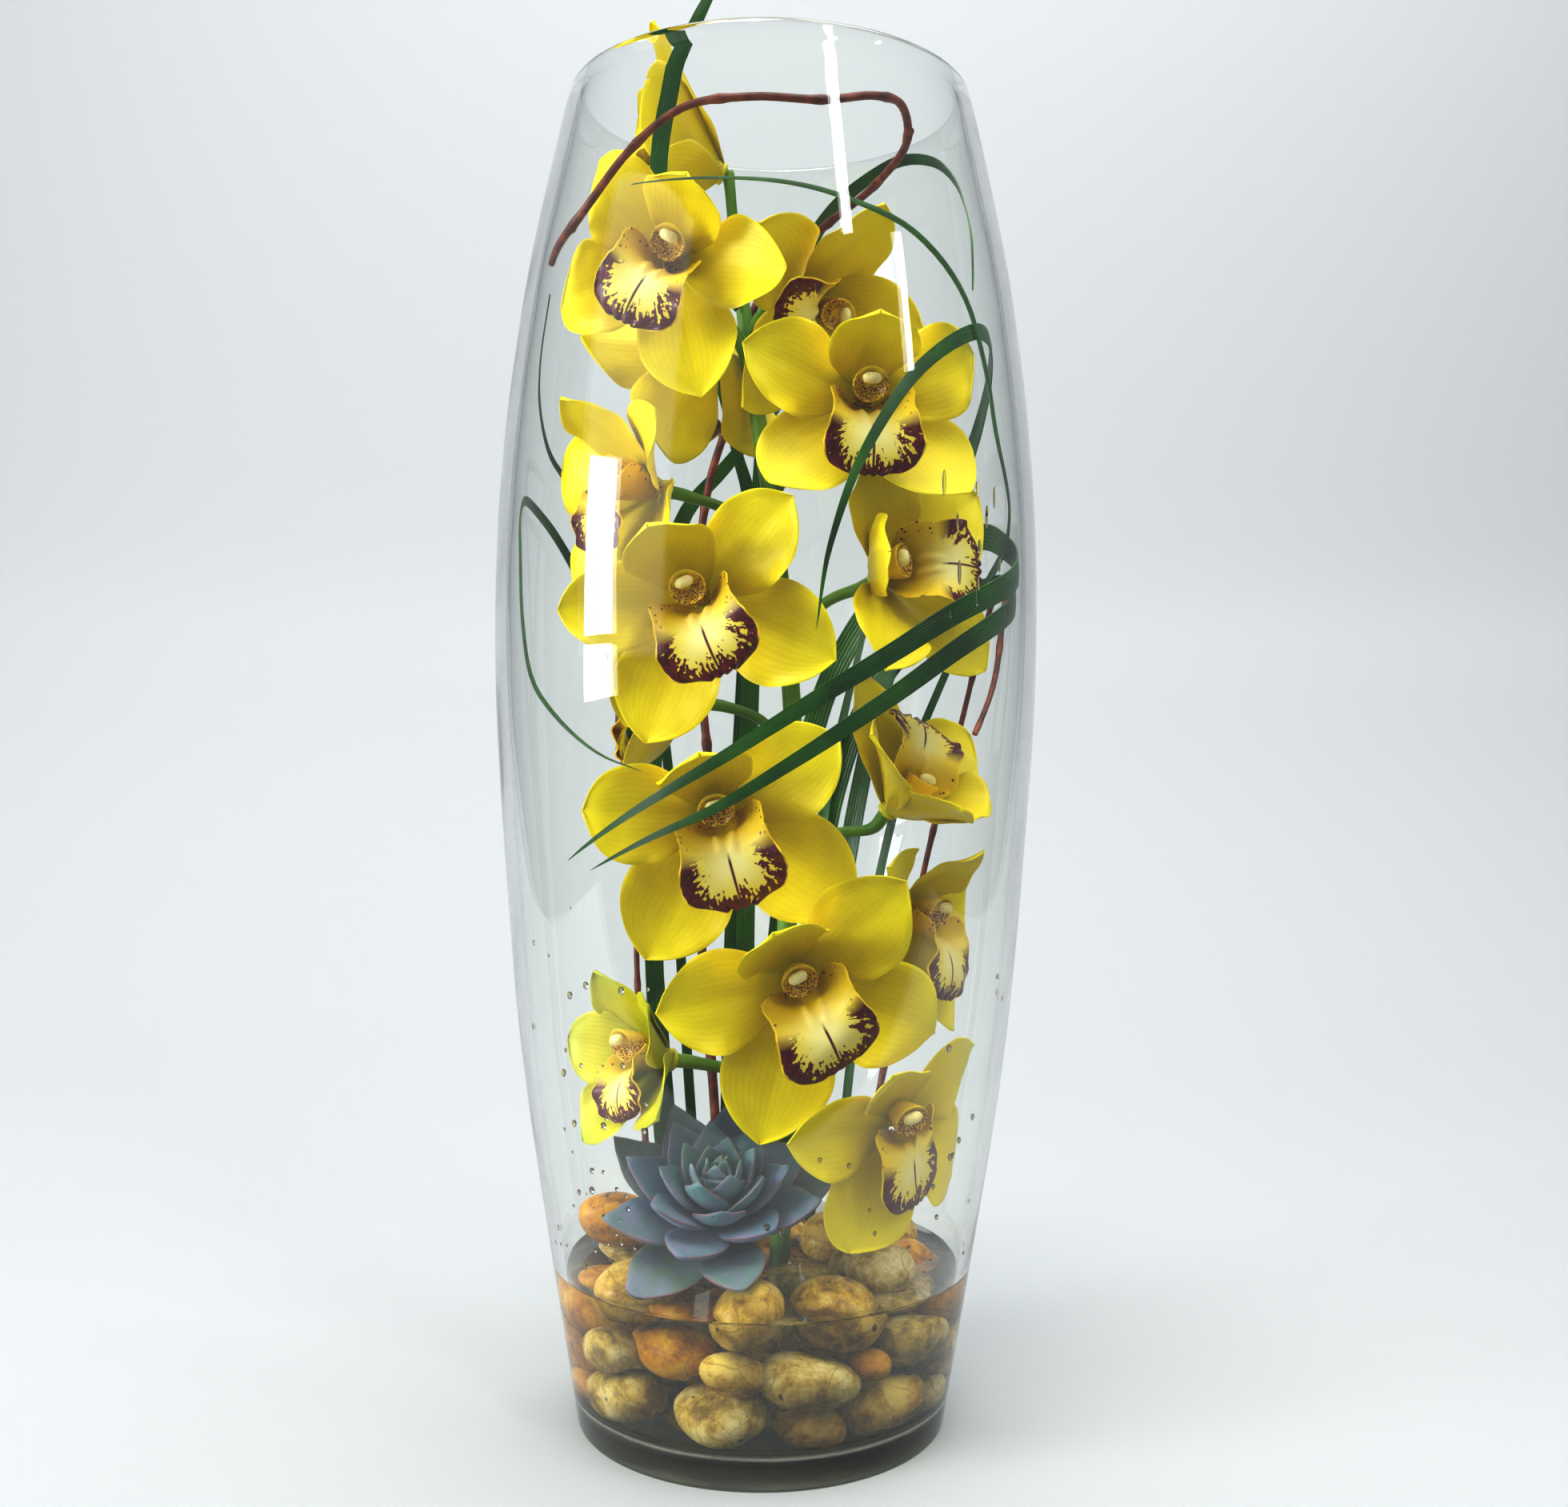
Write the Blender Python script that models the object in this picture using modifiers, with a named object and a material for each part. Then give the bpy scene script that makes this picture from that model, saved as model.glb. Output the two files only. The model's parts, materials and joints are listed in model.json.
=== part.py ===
"""A stem of yellow cymbidium orchids in a barrel-shaped glass vase.

The stem stands in water and river pebbles, with an echeveria rosette at its foot,
blades of lily grass and a twig of curly willow round it. Metres, +Z up; the origin
is the centre of the vase's foot, and -Y is the front.
"""

import math
import random

import bmesh
import bpy
from mathutils import Euler, Matrix, Vector
from mathutils.bvhtree import BVHTree

# Vase: a barrel of clear glass
VASE_HEIGHT = 0.500
VASE_OUTLINE = [
    (0.000, 0.0692),
    (0.067, 0.0802),
    (0.140, 0.0912),
    (0.211, 0.0977),
    (0.285, 0.1019),
    (0.354, 0.1002),
    (0.427, 0.0913),
    (0.500, 0.0758),
]  # height, outer radius
WALL = 0.0045
BASE = 0.010
FOOT_ROUND = 0.003
FLOOR_ROUND = 0.008
VASE_SIDES = 32

# Filling
WATER_LEVEL = 0.060
GAP = 0.0003
PEBBLE_CLEARANCE = 0.00045

# Orchid flowers
TEPAL_LENGTH = 0.051
TEPAL_WIDTH = 0.038
PETAL_LENGTH = 0.049
PETAL_WIDTH = 0.034
SHEET = 0.0008
LIP_LENGTH = 0.043
LIP_WIDTH = 0.037
COLUMN_LENGTH = 0.021
COLUMN_WIDTH = 0.008
RECEPTACLE_DEPTH = 0.006
SEPAL_ANGLES = [0, 138, -137]
PETAL_ANGLES = [71, -71]
HOOD = (26, 84)
FLOWER_TO_GLASS = 0.0078
FLOWER_PARTING = 0.0011
FIRST_FLOWER_FRONT = 0.004
FLOWER_FLOOR = 0.076

# Each flower: joint with its stalk, turn to the right, lift, clockwise roll, size, closing
FLOWERS = [
    ((-0.020, 0.012, 0.477), -76, 22, 0, 1.20, 0.46),
    ((-0.035, -0.024, 0.430), -6, 0, 28, 1.00, 0.00),
    ((-0.021, 0.001, 0.407), -138, -16, 10, 1.00, 0.05),
    ((0.012, 0.000, 0.424), 40, -26, 76, 0.98, 0.10),
    ((0.034, -0.026, 0.380), 6, 0, 0, 1.03, 0.00),
    ((-0.041, -0.002, 0.352), -56, 6, -8, 1.00, 0.10),
    ((-0.023, -0.030, 0.308), -10, 0, -24, 1.06, 0.00),
    ((0.042, -0.016, 0.318), 30, 12, -85, 1.00, 0.05),
    ((0.048, 0.000, 0.232), 46, 40, -150, 1.00, 0.33),
    ((-0.016, -0.036, 0.230), 0, 0, -16, 1.08, 0.00),
    ((-0.028, 0.010, 0.272), -88, 8, 10, 1.00, 0.26),
    ((0.013, -0.042, 0.172), 2, 0, -28, 1.10, 0.00),
    ((0.052, 0.010, 0.188), 50, 4, 10, 1.02, 0.08),
    ((-0.036, -0.012, 0.138), -54, 12, -20, 0.84, 0.33),
    ((0.046, -0.034, 0.122), 18, 0, -20, 1.02, 0.00),
]

# Flower stem: points from the pebbles to the top, with the radius at each
STEM = [
    (0.006, 0.014, 0.016, 0.0040),
    (0.008, 0.013, 0.100, 0.0040),
    (0.009, 0.012, 0.195, 0.0038),
    (0.0105, 0.012, 0.265, 0.0036),
    (0.002, 0.012, 0.345, 0.0033),
    (-0.005, 0.013, 0.390, 0.0031),
    (-0.010, 0.014, 0.425, 0.0029),
    (-0.015, 0.015, 0.452, 0.0025),
]
STALK_RADIUS = 0.0022
STALK_DROP = 0.55  # how far below its flower a stalk leaves the stem, over its reach

# Lily grass blades from root to tip: width, then turn, height and distance from the glass
GRASS = [
    (0.0105, [(182, 20, 2.3), (178, 130, 2.3), (169, 249, 2.3), (156, 304, 2.3), (136, 334, 2.3),
              (112, 340, 2.3), (92, 331, 2.3), (70, 318, 2.3), (43, 302, 2.3), (24, 285, 2.3),
              (7, 268, 2.3), (-9, 251, 2.3), (-28, 233, 2.3), (-46, 216, 2.3)]),
    (0.0100, [(174, 20, 3.5), (169, 130, 3.5), (161, 232, 3.5), (147, 285, 3.5), (125, 312, 3.5),
              (102, 318, 3.5), (82, 312, 3.5), (62, 302, 3.5), (43, 289, 3.5), (24, 270, 3.5),
              (7, 252, 3.5), (-9, 236, 3.5), (-24, 225, 3.5), (-40, 213, 3.5)]),
    (0.0085, [(164, 20, 6.0), (160, 150, 6.0), (148, 270, 6.0), (131, 330, 6.0), (115, 365, 6.0),
              (98, 388, 6.0), (79, 402, 6.0), (58, 402, 5.9), (36, 384, 5.9), (21, 354, 5.9),
              (13, 322, 5.9), (10, 293, 5.9)]),
    (0.0080, [(188, 20, 7.2), (186, 150, 7.2), (184, 300, 7.2), (180, 400, 7.2), (174, 440, 8),
              (165, 468, 8.5), (148, 484, 11), (122, 489, 13), (100, 482, 10), (84, 467, 7),
              (74, 449, 6.4), (66, 432, 6.4), (61, 418, 6.4)]),
    (0.0040, [(155, 20, 4.7), (150, 150, 4.7), (138, 245, 4.7), (112, 312, 4.7), (82, 338, 4.7),
              (65, 362, 4.7), (60, 388, 4.7), (53, 412, 4.7), (37, 430, 4.7), (19, 438, 4.7),
              (5, 442, 4.7), (-12, 444, 4.7), (-36, 446, 4.7)]),
    (0.0066, [(228, 424, 71.6), (270, 436, 66), (286, 450, 48), (285, 466, 36), (284, 502, 33),
              (286, 526, 41.7), (286, 542, 49), (290, 567, 57.4)]),
    (0.0045, [(203, 20, 4.7), (205, 150, 4.7), (209, 260, 4.7), (221, 325, 4.7), (240, 355, 4.7),
              (258, 371, 4.7), (272, 387, 4.7), (279, 405, 4.7), (281, 422, 4.7)]),
    (0.0045, [(210, 20, 3.5), (212, 150, 3.5), (217, 245, 3.5), (230, 308, 3.5), (250, 340, 3.5),
              (274, 347, 3.5), (289, 330, 3.5), (294, 302, 3.5), (300, 280, 3.5), (310, 266, 3.5),
              (323, 253, 3.5), (334, 247, 3.5)]),
    (0.0090, [(192, 20, 2.3), (188, 200, 2.3), (184, 340, 2.3), (189, 385, 2.3), (197, 422, 2.3),
              (204, 450, 2.3)]),
    (0.0090, [(216, 20, 5.9), (214, 200, 5.9), (211, 300, 5.9), (205, 350, 5.9), (192, 376, 5.9),
              (176, 404, 5.9), (163, 432, 5.9), (156, 455, 5.9)]),
    (0.0050, [(172, 20, 5.9), (168, 130, 5.9), (163, 225, 5.9), (158, 268, 5.9), (151, 312, 5.9),
              (144, 350, 5.9)]),
]  # metres; degrees from the front to the right, millimetres, millimetres
BLADE_THICKNESS = 0.0007
BLADE_STEP = 0.017

# Curly willow twigs from root to tip: radius at both ends, and points, as for the grass
WILLOW = [
    (0.0022, 0.0013, [(199, 20, 11), (197, 95, 11), (200, 170, 11), (197, 240, 11), (201, 310, 11),
                      (198, 365, 11), (190, 405, 11), (188, 432, 12), (176, 456, 15), (160, 468, 19),
                      (140, 474, 25), (112, 478, 28), (84, 483, 23), (60, 488, 19), (38, 484, 16),
                      (16, 477, 14), (-6, 477, 14), (-28, 475, 13), (-44, 462, 10), (-58, 442, 6),
                      (-76, 432, 3.6)]),
    (0.0016, 0.0009, [(146, 20, 8.4), (139, 110, 8.4), (128, 200, 8.4), (112, 275, 8.4),
                      (96, 312, 8.4), (80, 318, 7.4), (67, 305, 6.0), (61, 280, 6.0), (52, 260, 6.0)]),
    (0.0016, 0.0009, [(226, 20, 7.4), (223, 100, 7.4), (221, 180, 7.4), (219, 238, 7.4),
                      (225, 262, 7.4), (222, 300, 7.4)]),
]

# River pebbles: how many, how far from the axis they are let down, and their middle size
PEBBLES = 26
PEBBLE_REACH = 0.054
PEBBLE_DROP = 0.100
PEBBLE_TRIES = 12
PEBBLE_SIZE = (0.036, 0.028, 0.021)
BED_PEBBLES = [(20, 0.021, 0), (140, 0.021, 1), (260, 0.021, -1), (75, 0.018, 17), (255, 0.019, 18)]

# Echeveria rosette, which settles on the pebbles
ROSETTE_PLACE = (-0.016, -0.028)
ROSETTE_DROP = 0.120
ROSETTE_LEAVES = 19
ROSETTE_TILT = 33
LEAF_THICKNESS = 0.0028

for old in list(bpy.data.objects):
    bpy.data.objects.remove(old, do_unlink=True)

scene = bpy.context.scene
parts = bpy.data.collections.new("cymbidium_orchid_stem")
scene.collection.children.link(parts)
cutters = bpy.data.collections.new("cutters")
scene.collection.children.link(cutters)


def material(name, colour, roughness, transmission=0.0, ior=1.45):
    made = bpy.data.materials.new(name)
    made.use_nodes = True
    shader = made.node_tree.nodes["Principled BSDF"]
    shader.inputs["Base Color"].default_value = (*colour, 1.0)
    shader.inputs["Roughness"].default_value = roughness
    shader.inputs["Metallic"].default_value = 0.0
    shader.inputs["Transmission Weight"].default_value = transmission
    shader.inputs["IOR"].default_value = ior
    return made


GLASS = material("clear_glass", (0.92, 0.96, 0.95), 0.02, 1.0, 1.52)
WATER = material("water", (0.95, 0.98, 0.97), 0.01, 1.0, 1.33)
PETAL = material("yellow_petal", (0.80, 0.63, 0.02), 0.45)
STALK = material("green_stalk", (0.16, 0.28, 0.03), 0.45)
BLADE = material("dark_green_blade", (0.03, 0.10, 0.02), 0.35)
BARK = material("willow_bark", (0.20, 0.06, 0.03), 0.55)
SUCCULENT = material("grey_green_leaf", (0.22, 0.30, 0.27), 0.50)
STONES = [
    material("honey_stone", (0.52, 0.30, 0.10), 0.35),
    material("tan_stone", (0.48, 0.36, 0.22), 0.40),
    material("orange_stone", (0.50, 0.19, 0.05), 0.35),
    material("brown_stone", (0.24, 0.13, 0.07), 0.40),
]


def add_object(name, mesh, finish, smooth=40):
    """Put a mesh on show as a named part, shaded smooth up to the given angle."""
    made = bpy.data.objects.new(name, mesh)
    mesh.materials.clear()
    mesh.materials.append(finish)
    parts.objects.link(made)
    mesh.shade_smooth()
    mesh.set_sharp_from_angle(angle=math.radians(smooth))
    return made


def evaluated_mesh(source):
    """The mesh of an object after its modifiers, or of a curve, with its caps joined."""
    graph = bpy.context.evaluated_depsgraph_get()
    mesh = bpy.data.meshes.new_from_object(source.evaluated_get(graph), depsgraph=graph)
    mesh.transform(source.matrix_world)
    work = bmesh.new()
    work.from_mesh(mesh)
    bmesh.ops.remove_doubles(work, verts=work.verts, dist=0.000001)
    bmesh.ops.triangulate(work, faces=work.faces, quad_method="BEAUTY", ngon_method="BEAUTY")
    work.to_mesh(mesh)
    work.free()
    return mesh


def remove(source):
    data = source.data
    bpy.data.objects.remove(source, do_unlink=True)
    if isinstance(data, bpy.types.Mesh):
        bpy.data.meshes.remove(data)
    else:
        bpy.data.curves.remove(data)


def mesh_object(name, work, where=cutters):
    """An object from a bmesh, which is freed."""
    mesh = bpy.data.meshes.new(name)
    work.to_mesh(mesh)
    work.free()
    made = bpy.data.objects.new(name, mesh)
    where.objects.link(made)
    if where == cutters:
        made.hide_render = True
        made.display_type = "WIRE"
    return made


def largest_body(mesh):
    """Keep only the largest connected body of a mesh, so that no scrap is left."""
    work = bmesh.new()
    work.from_mesh(mesh)
    left = set(work.verts)
    bodies = []
    while left:
        body = {left.pop()}
        edge = list(body)
        while edge:
            vertex = edge.pop()
            for link in vertex.link_edges:
                other = link.other_vert(vertex)
                if other in left:
                    left.remove(other)
                    body.add(other)
                    edge.append(other)
        bodies.append(body)
    bodies.sort(key=len)
    for scrap in bodies[:-1]:
        bmesh.ops.delete(work, geom=list(scrap), context="VERTS")
    work.to_mesh(mesh)
    work.free()
    return mesh


def boolean(base, others, operation, solver="MANIFOLD"):
    """The mesh of base joined with, or cut by, a list of closed objects, which are removed."""
    group = bpy.data.collections.new("operands")
    scene.collection.children.link(group)
    for other in others:
        group.objects.link(other)
    change = base.modifiers.new("boolean", "BOOLEAN")
    change.operation = operation
    change.operand_type = "COLLECTION"
    change.collection = group
    change.solver = solver
    mesh = evaluated_mesh(base)
    remove(base)
    for other in others:
        remove(other)
    bpy.data.collections.remove(group)
    return largest_body(mesh)


def smooth_along(points, t):
    """Value at t on a smooth line through (t, value) pairs, by Hermite pieces."""
    t = min(max(t, points[0][0]), points[-1][0])
    for i in range(len(points) - 1):
        if t <= points[i + 1][0]:
            break
    (t0, a), (t1, b) = points[i], points[i + 1]
    before = points[i - 1] if i > 0 else points[i]
    after = points[i + 2] if i + 2 < len(points) else points[i + 1]
    slope_a = (b - before[1]) / (t1 - before[0])
    slope_b = (after[1] - a) / (after[0] - t0)
    h = t1 - t0
    s = (t - t0) / h
    return (
        a * (1 + 2 * s) * (1 - s) ** 2
        + b * s * s * (3 - 2 * s)
        + h * s * (1 - s) * (slope_a * (1 - s) - slope_b * s)
    )


def outer_radius(z):
    return smooth_along(VASE_OUTLINE, z)


def inner_radius(z):
    return outer_radius(z) - WALL


def turned(name, profile, where=cutters):
    """A solid turned round +Z from a profile of (radius, height), up inside and down outside."""
    work = bmesh.new()
    verts = [work.verts.new((r, 0, z)) for r, z in profile]
    for a, b in zip(verts, verts[1:]):
        work.edges.new((a, b))
    made = mesh_object(name, work, where)
    screw = made.modifiers.new("turn", "SCREW")
    screw.angle = math.tau
    screw.steps = VASE_SIDES
    screw.render_steps = VASE_SIDES
    screw.use_merge_vertices = True
    screw.merge_threshold = 0.00005
    return made


def arc(centre, radius, start, end, steps):
    """Points of an arc in the profile plane, angles in degrees from +radius."""
    points = []
    for i in range(steps + 1):
        angle = math.radians(start + (end - start) * i / steps)
        points.append((centre[0] + radius * math.cos(angle), centre[1] + radius * math.sin(angle)))
    return points


def make_vase():
    levels = [0.055 + 0.056 * i for i in range(8)]
    inner = [(inner_radius(z), z) for z in levels]
    outer = [(outer_radius(z), z) for z in reversed(levels)]
    rim_middle = (outer_radius(VASE_HEIGHT) - WALL / 2, VASE_HEIGHT - WALL / 2)
    floor_corner = (inner_radius(BASE + FLOOR_ROUND) - FLOOR_ROUND, BASE + FLOOR_ROUND)
    foot_corner = (outer_radius(FOOT_ROUND) - FOOT_ROUND, FOOT_ROUND)
    profile = [(0, BASE)]
    profile += arc(floor_corner, FLOOR_ROUND, -90, 0, 2)
    profile += inner
    profile += arc(rim_middle, WALL / 2, 180, 0, 3)
    profile += outer
    profile += arc(foot_corner, FOOT_ROUND, 0, -90, 2)
    profile += [(0, 0)]
    vase = turned("vase", profile)
    mesh = evaluated_mesh(vase)
    remove(vase)
    return add_object("vase", mesh, GLASS)


def grown(mesh, by):
    """A bmesh of the mesh, grown by a distance along its normals."""
    work = bmesh.new()
    work.from_mesh(mesh)
    bmesh.ops.triangulate(work, faces=work.faces)
    work.normal_update()
    moves = [(vertex, vertex.normal * by * vertex.calc_shell_factor()) for vertex in work.verts]
    for vertex, move in moves:
        vertex.co += move
    return work


def make_water(inside):
    """Water round everything that stands in it, from the vase's floor up to its level."""
    floor_corner = (inner_radius(BASE + FLOOR_ROUND) - FLOOR_ROUND, BASE + FLOOR_ROUND)
    profile = [(0, BASE + GAP)]
    profile += arc(floor_corner, FLOOR_ROUND - GAP, -90, 0, 2)
    profile += [(inner_radius(z) - GAP, z) for z in (0.055, WATER_LEVEL)]
    profile += [(0, WATER_LEVEL)]
    water = turned("water", profile)
    mesh = evaluated_mesh(water)
    remove(water)
    mesh.flip_normals()
    base = bpy.data.objects.new("water_body", mesh)
    cutters.objects.link(base)
    holes = [mesh_object("hole", grown(mesh, GAP)) for mesh in inside]
    return add_object("water", boolean(base, holes, "DIFFERENCE", "MANIFOLD"), WATER)


def sheet(rows, columns, place):
    """A grid of rows by columns whose corners go where place(u, v) says, u 0..1, v -1..1."""
    work = bmesh.new()
    bmesh.ops.create_grid(work, x_segments=columns, y_segments=rows, size=1)
    for vertex in work.verts:
        vertex.co = place((vertex.co.y + 1) / 2, vertex.co.x)
    bmesh.ops.remove_doubles(work, verts=work.verts, dist=0.0004)
    bmesh.ops.triangulate(work, faces=work.faces)
    return work


def thicken(made, thickness):
    solid = made.modifiers.new("thickness", "SOLIDIFY")
    solid.thickness = thickness
    solid.offset = 0
    mesh = evaluated_mesh(made)
    remove(made)
    thick = bpy.data.objects.new("thick", mesh)
    cutters.objects.link(thick)
    return thick


def tepal(angle, length, width, rise, tip_rise, cup, start, root=0.0028):
    """Where (u, v) of a sepal or petal lies in its flower, whose +Z is its face, +Y its top."""
    steps = 24
    line = [Vector((root, 0, start))]
    slopes = []
    for i in range(steps + 1):
        slope = math.radians(rise + (tip_rise - rise) * i / steps)
        slopes.append(slope)
        line.append(line[-1] + Vector((math.cos(slope), 0, math.sin(slope))) * length / steps)
    turn = Matrix.Rotation(math.radians(90 - angle), 3, "Z")

    def place(u, v):
        u = u ** 0.8
        i = min(int(u * steps), steps - 1)
        middle = line[i].lerp(line[i + 1], u * steps - i)
        slope = slopes[i]
        wide = (math.sin(math.pi * (0.035 + 0.965 * u) ** 1.3) if u < 1 else 0) ** 0.7
        bend = v * wide * width / 2 * cup
        across = Vector((0, 1, 0)) * math.sin(bend) / cup
        lift = Vector((-math.sin(slope), 0, math.cos(slope))) * (1 - math.cos(bend)) / cup
        return turn @ (middle + across + lift)

    return place


def lip():
    """Where (u, v) of the lip lies: a trough under the column, then a lobe that curls down."""
    steps = 24
    line = [Vector((0, -0.0036, 0.001))]
    slopes = []
    for i in range(steps + 1):
        slope = math.radians(smooth_along([(0, 12), (0.35, 18), (0.62, 70), (1, 128)], i / steps))
        slopes.append(slope)
        line.append(line[-1] + Vector((0, -math.sin(slope), math.cos(slope))) * LIP_LENGTH / steps)

    def place(u, v):
        i = min(int(u * steps), steps - 1)
        middle = line[i].lerp(line[i + 1], u * steps - i)
        slope = slopes[i]
        half = LIP_WIDTH * smooth_along(
            [(0, 0.10), (0.2, 0.30), (0.38, 0.44), (0.52, 0.34), (0.74, 0.50), (0.92, 0.38), (1, 0.16)], u
        )
        curl = smooth_along([(0, 75), (0.3, 78), (0.5, 55), (0.75, 5), (1, -20)], u)
        bend = math.radians(curl) * v
        reach = half * (math.sin(bend) / math.radians(curl))
        lift = half * (1 - math.cos(bend)) / math.radians(curl)
        normal = Vector((0, math.cos(slope), math.sin(slope)))
        return middle + Vector((reach, 0, 0)) + normal * lift

    return place


def flower_frame(base, turn, lift, roll):
    """Matrix from the flower's own axes to the vase's."""
    turn, lift = math.radians(turn), math.radians(lift)
    face = Vector((math.sin(turn) * math.cos(lift), -math.cos(turn) * math.cos(lift), math.sin(lift)))
    side = Vector((math.cos(turn), math.sin(turn), 0))
    frame = Matrix((side, face.cross(side), face)).transposed()
    frame = frame @ Matrix.Rotation(-math.radians(roll), 3, "Z")
    return Matrix.Translation(base) @ frame.to_4x4()


def flower_sheets(base, turn, lift, roll, size, closing):
    """The five tepals and the lip of a flower as thin open sheets, in the vase's axes."""
    frame = flower_frame(base, turn, lift, roll) @ Matrix.Scale(size, 4)
    more = 55 * closing
    sheets = []
    for angle in SEPAL_ANGLES:
        hood, arch = (bend * max(1 - 2 * closing, 0.2) if angle == 0 else 0 for bend in HOOD)
        width = TEPAL_WIDTH * (0.85 if angle == 0 else 1)
        place = tepal(angle, TEPAL_LENGTH, width, 22 + hood + more, 8 + arch + more, 22, -0.001)
        sheets.append(sheet(3, 2, place))
    for angle in PETAL_ANGLES:
        place = tepal(angle, PETAL_LENGTH, PETAL_WIDTH, 36 + more, 16 + more, 20, 0.0008)
        sheets.append(sheet(3, 2, place))
    sheets.append(sheet(4, 4, lip()))
    for work in sheets:
        work.transform(frame)
    return sheets


def all_points(sheets):
    return [vertex.co for work in sheets for vertex in work.verts]


def eased(distance, limit, ease):
    """A distance kept under a limit: unchanged up to limit - ease, then ever more pressed."""
    over = distance - (limit - ease)
    if over <= 0:
        return distance
    return limit - ease * math.exp(-over / ease)


def keep_in_vase(sheets):
    """Press a flower in from the glass and up from the pebbles."""
    for point in all_points(sheets):
        point.z = -eased(-point.z, -FLOWER_FLOOR, 0.008)
        radius = math.hypot(point.x, point.y)
        limit = inner_radius(min(point.z, VASE_HEIGHT)) - FLOWER_TO_GLASS
        if radius > 0:
            ratio = eased(radius, limit, 0.010) / radius
            point.x *= ratio
            point.y *= ratio


def sphere_directions(count):
    """Directions spread evenly over a sphere, along a golden spiral."""
    golden = math.pi * (3 - math.sqrt(5))
    directions = []
    for i in range(count):
        z = 1 - 2 * (i + 0.5) / count
        r = math.sqrt(1 - z * z)
        directions.append(Vector((r * math.cos(golden * i), r * math.sin(golden * i), z)))
    return directions


DIRECTIONS = sphere_directions(300)


def part_flowers(first, second):
    """Press two flowers that meet away from the plane that they cross least."""
    a, b = all_points(first), all_points(second)
    best = None
    for normal in DIRECTIONS:
        top = max(point.dot(normal) for point in a)
        low = min(point.dot(normal) for point in b)
        if best is None or top - low < best[0]:
            best = (top - low, normal, (top + low) / 2)
    crossing, normal, level = best
    if crossing < -2 * FLOWER_PARTING:
        return
    ease = 0.004 + abs(crossing) * 0.4
    for point in a:
        distance = point.dot(normal) - level
        point += normal * (eased(distance, -FLOWER_PARTING, ease) - distance)
    for point in b:
        distance = level - point.dot(normal)
        point -= normal * (eased(distance, -FLOWER_PARTING, ease) - distance)


def make_flower(number, pose, sheets):
    """One flower: receptacle, tepals, lip and column joined into one solid."""
    frame = flower_frame(*pose)
    pieces = [thicken(mesh_object("sheet", work), SHEET) for work in sheets]
    work = bmesh.new()
    bmesh.ops.create_cone(
        work, cap_ends=True, segments=8, radius1=0.0028, radius2=0.0058, depth=RECEPTACLE_DEPTH,
        matrix=frame,
    )
    receptacle = mesh_object("receptacle", work)
    work = bmesh.new()
    lean = Matrix.Rotation(math.radians(-8), 4, "X")
    bmesh.ops.create_cone(
        work, cap_ends=True, segments=6, radius1=COLUMN_WIDTH * 0.38, radius2=COLUMN_WIDTH * 0.5,
        depth=COLUMN_LENGTH,
        matrix=frame @ lean @ Matrix.Translation((0, 0.001, COLUMN_LENGTH / 2)),
    )
    pieces.append(mesh_object("column", work))
    return add_object(f"bloom_{number:02d}", boolean(receptacle, pieces, "UNION"), PETAL)


def tube(points, sides_level=2):
    """A closed tube through (x, y, z, radius) points, as a mesh object."""
    curve = bpy.data.curves.new("tube", "CURVE")
    curve.dimensions = "3D"
    curve.bevel_depth = 1.0
    curve.bevel_resolution = sides_level
    curve.use_fill_caps = True
    spline = curve.splines.new("POLY")
    spline.points.add(len(points) - 1)
    for target, (x, y, z, radius) in zip(spline.points, points):
        target.co = (x, y, z, 1)
        target.radius = radius
    source = bpy.data.objects.new("tube", curve)
    cutters.objects.link(source)
    mesh = evaluated_mesh(source)
    remove(source)
    made = bpy.data.objects.new("tube", mesh)
    cutters.objects.link(made)
    return made


def stem_at(z):
    """The point of the flower stem's centre line at a height."""
    return Vector((
        smooth_along([(p[2], p[0]) for p in STEM], z),
        smooth_along([(p[2], p[1]) for p in STEM], z),
        z,
    ))


def make_stem():
    """The flower stem with a stalk to the back of every flower."""
    heights = [STEM[0][2] + (STEM[-1][2] - STEM[0][2]) * i / 12 for i in range(13)]
    points = []
    for z in heights:
        point = stem_at(z)
        points.append((point.x, point.y, z, smooth_along([(p[2], p[3]) for p in STEM], z)))
    stem = tube(points)
    stalks = []
    for base, turn, lift, roll in (values[:4] for values in FLOWERS):
        frame = flower_frame(base, turn, lift, roll)
        face = frame.to_3x3() @ Vector((0, 0, 1))
        end = Vector(base) - face * (RECEPTACLE_DEPTH / 2 + GAP)
        reach = (end - stem_at(end.z)).length
        start = stem_at(max(min(end.z - STALK_DROP * reach, STEM[-1][2] - 0.012), STEM[0][2] + 0.02))
        near = end - face * min(0.4 * reach, 0.010)
        line = []
        for t in (0, 0.5):
            point = start.lerp(near, t) + Vector((0, 0, 0.12 * reach * math.sin(math.pi * t)))
            line.append((*point, STALK_RADIUS))
        line.append((*near, STALK_RADIUS))
        line.append((*end, STALK_RADIUS * 1.15))
        stalks.append(tube(line, 1))
    return add_object("orchid_stem", boolean(stem, stalks, "UNION"), STALK)


def wall_point(turn, height, inset):
    """A point in the vase at a turn from the front, a height and a distance from the glass."""
    angle = math.radians(turn)
    radius = inner_radius(min(height / 1000, VASE_HEIGHT)) - inset / 1000
    return Vector((radius * math.sin(angle), -radius * math.cos(angle), height / 1000))


def wall_path(points, step):
    """Points along a smooth route given by (turn, height, inset), closer where it goes round."""
    keys = [[(i, point[k]) for i, point in enumerate(points)] for k in range(3)]
    path = []
    for i in range(len(points) - 1):
        a, b = wall_point(*points[i]), wall_point(*points[i + 1])
        pieces = max(1, math.ceil((b - a).xy.length / step))
        for j in range(pieces):
            t = i + j / pieces
            path.append(wall_point(*(smooth_along(key, t) for key in keys)))
    path.append(wall_point(*points[-1]))
    return path


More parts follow.
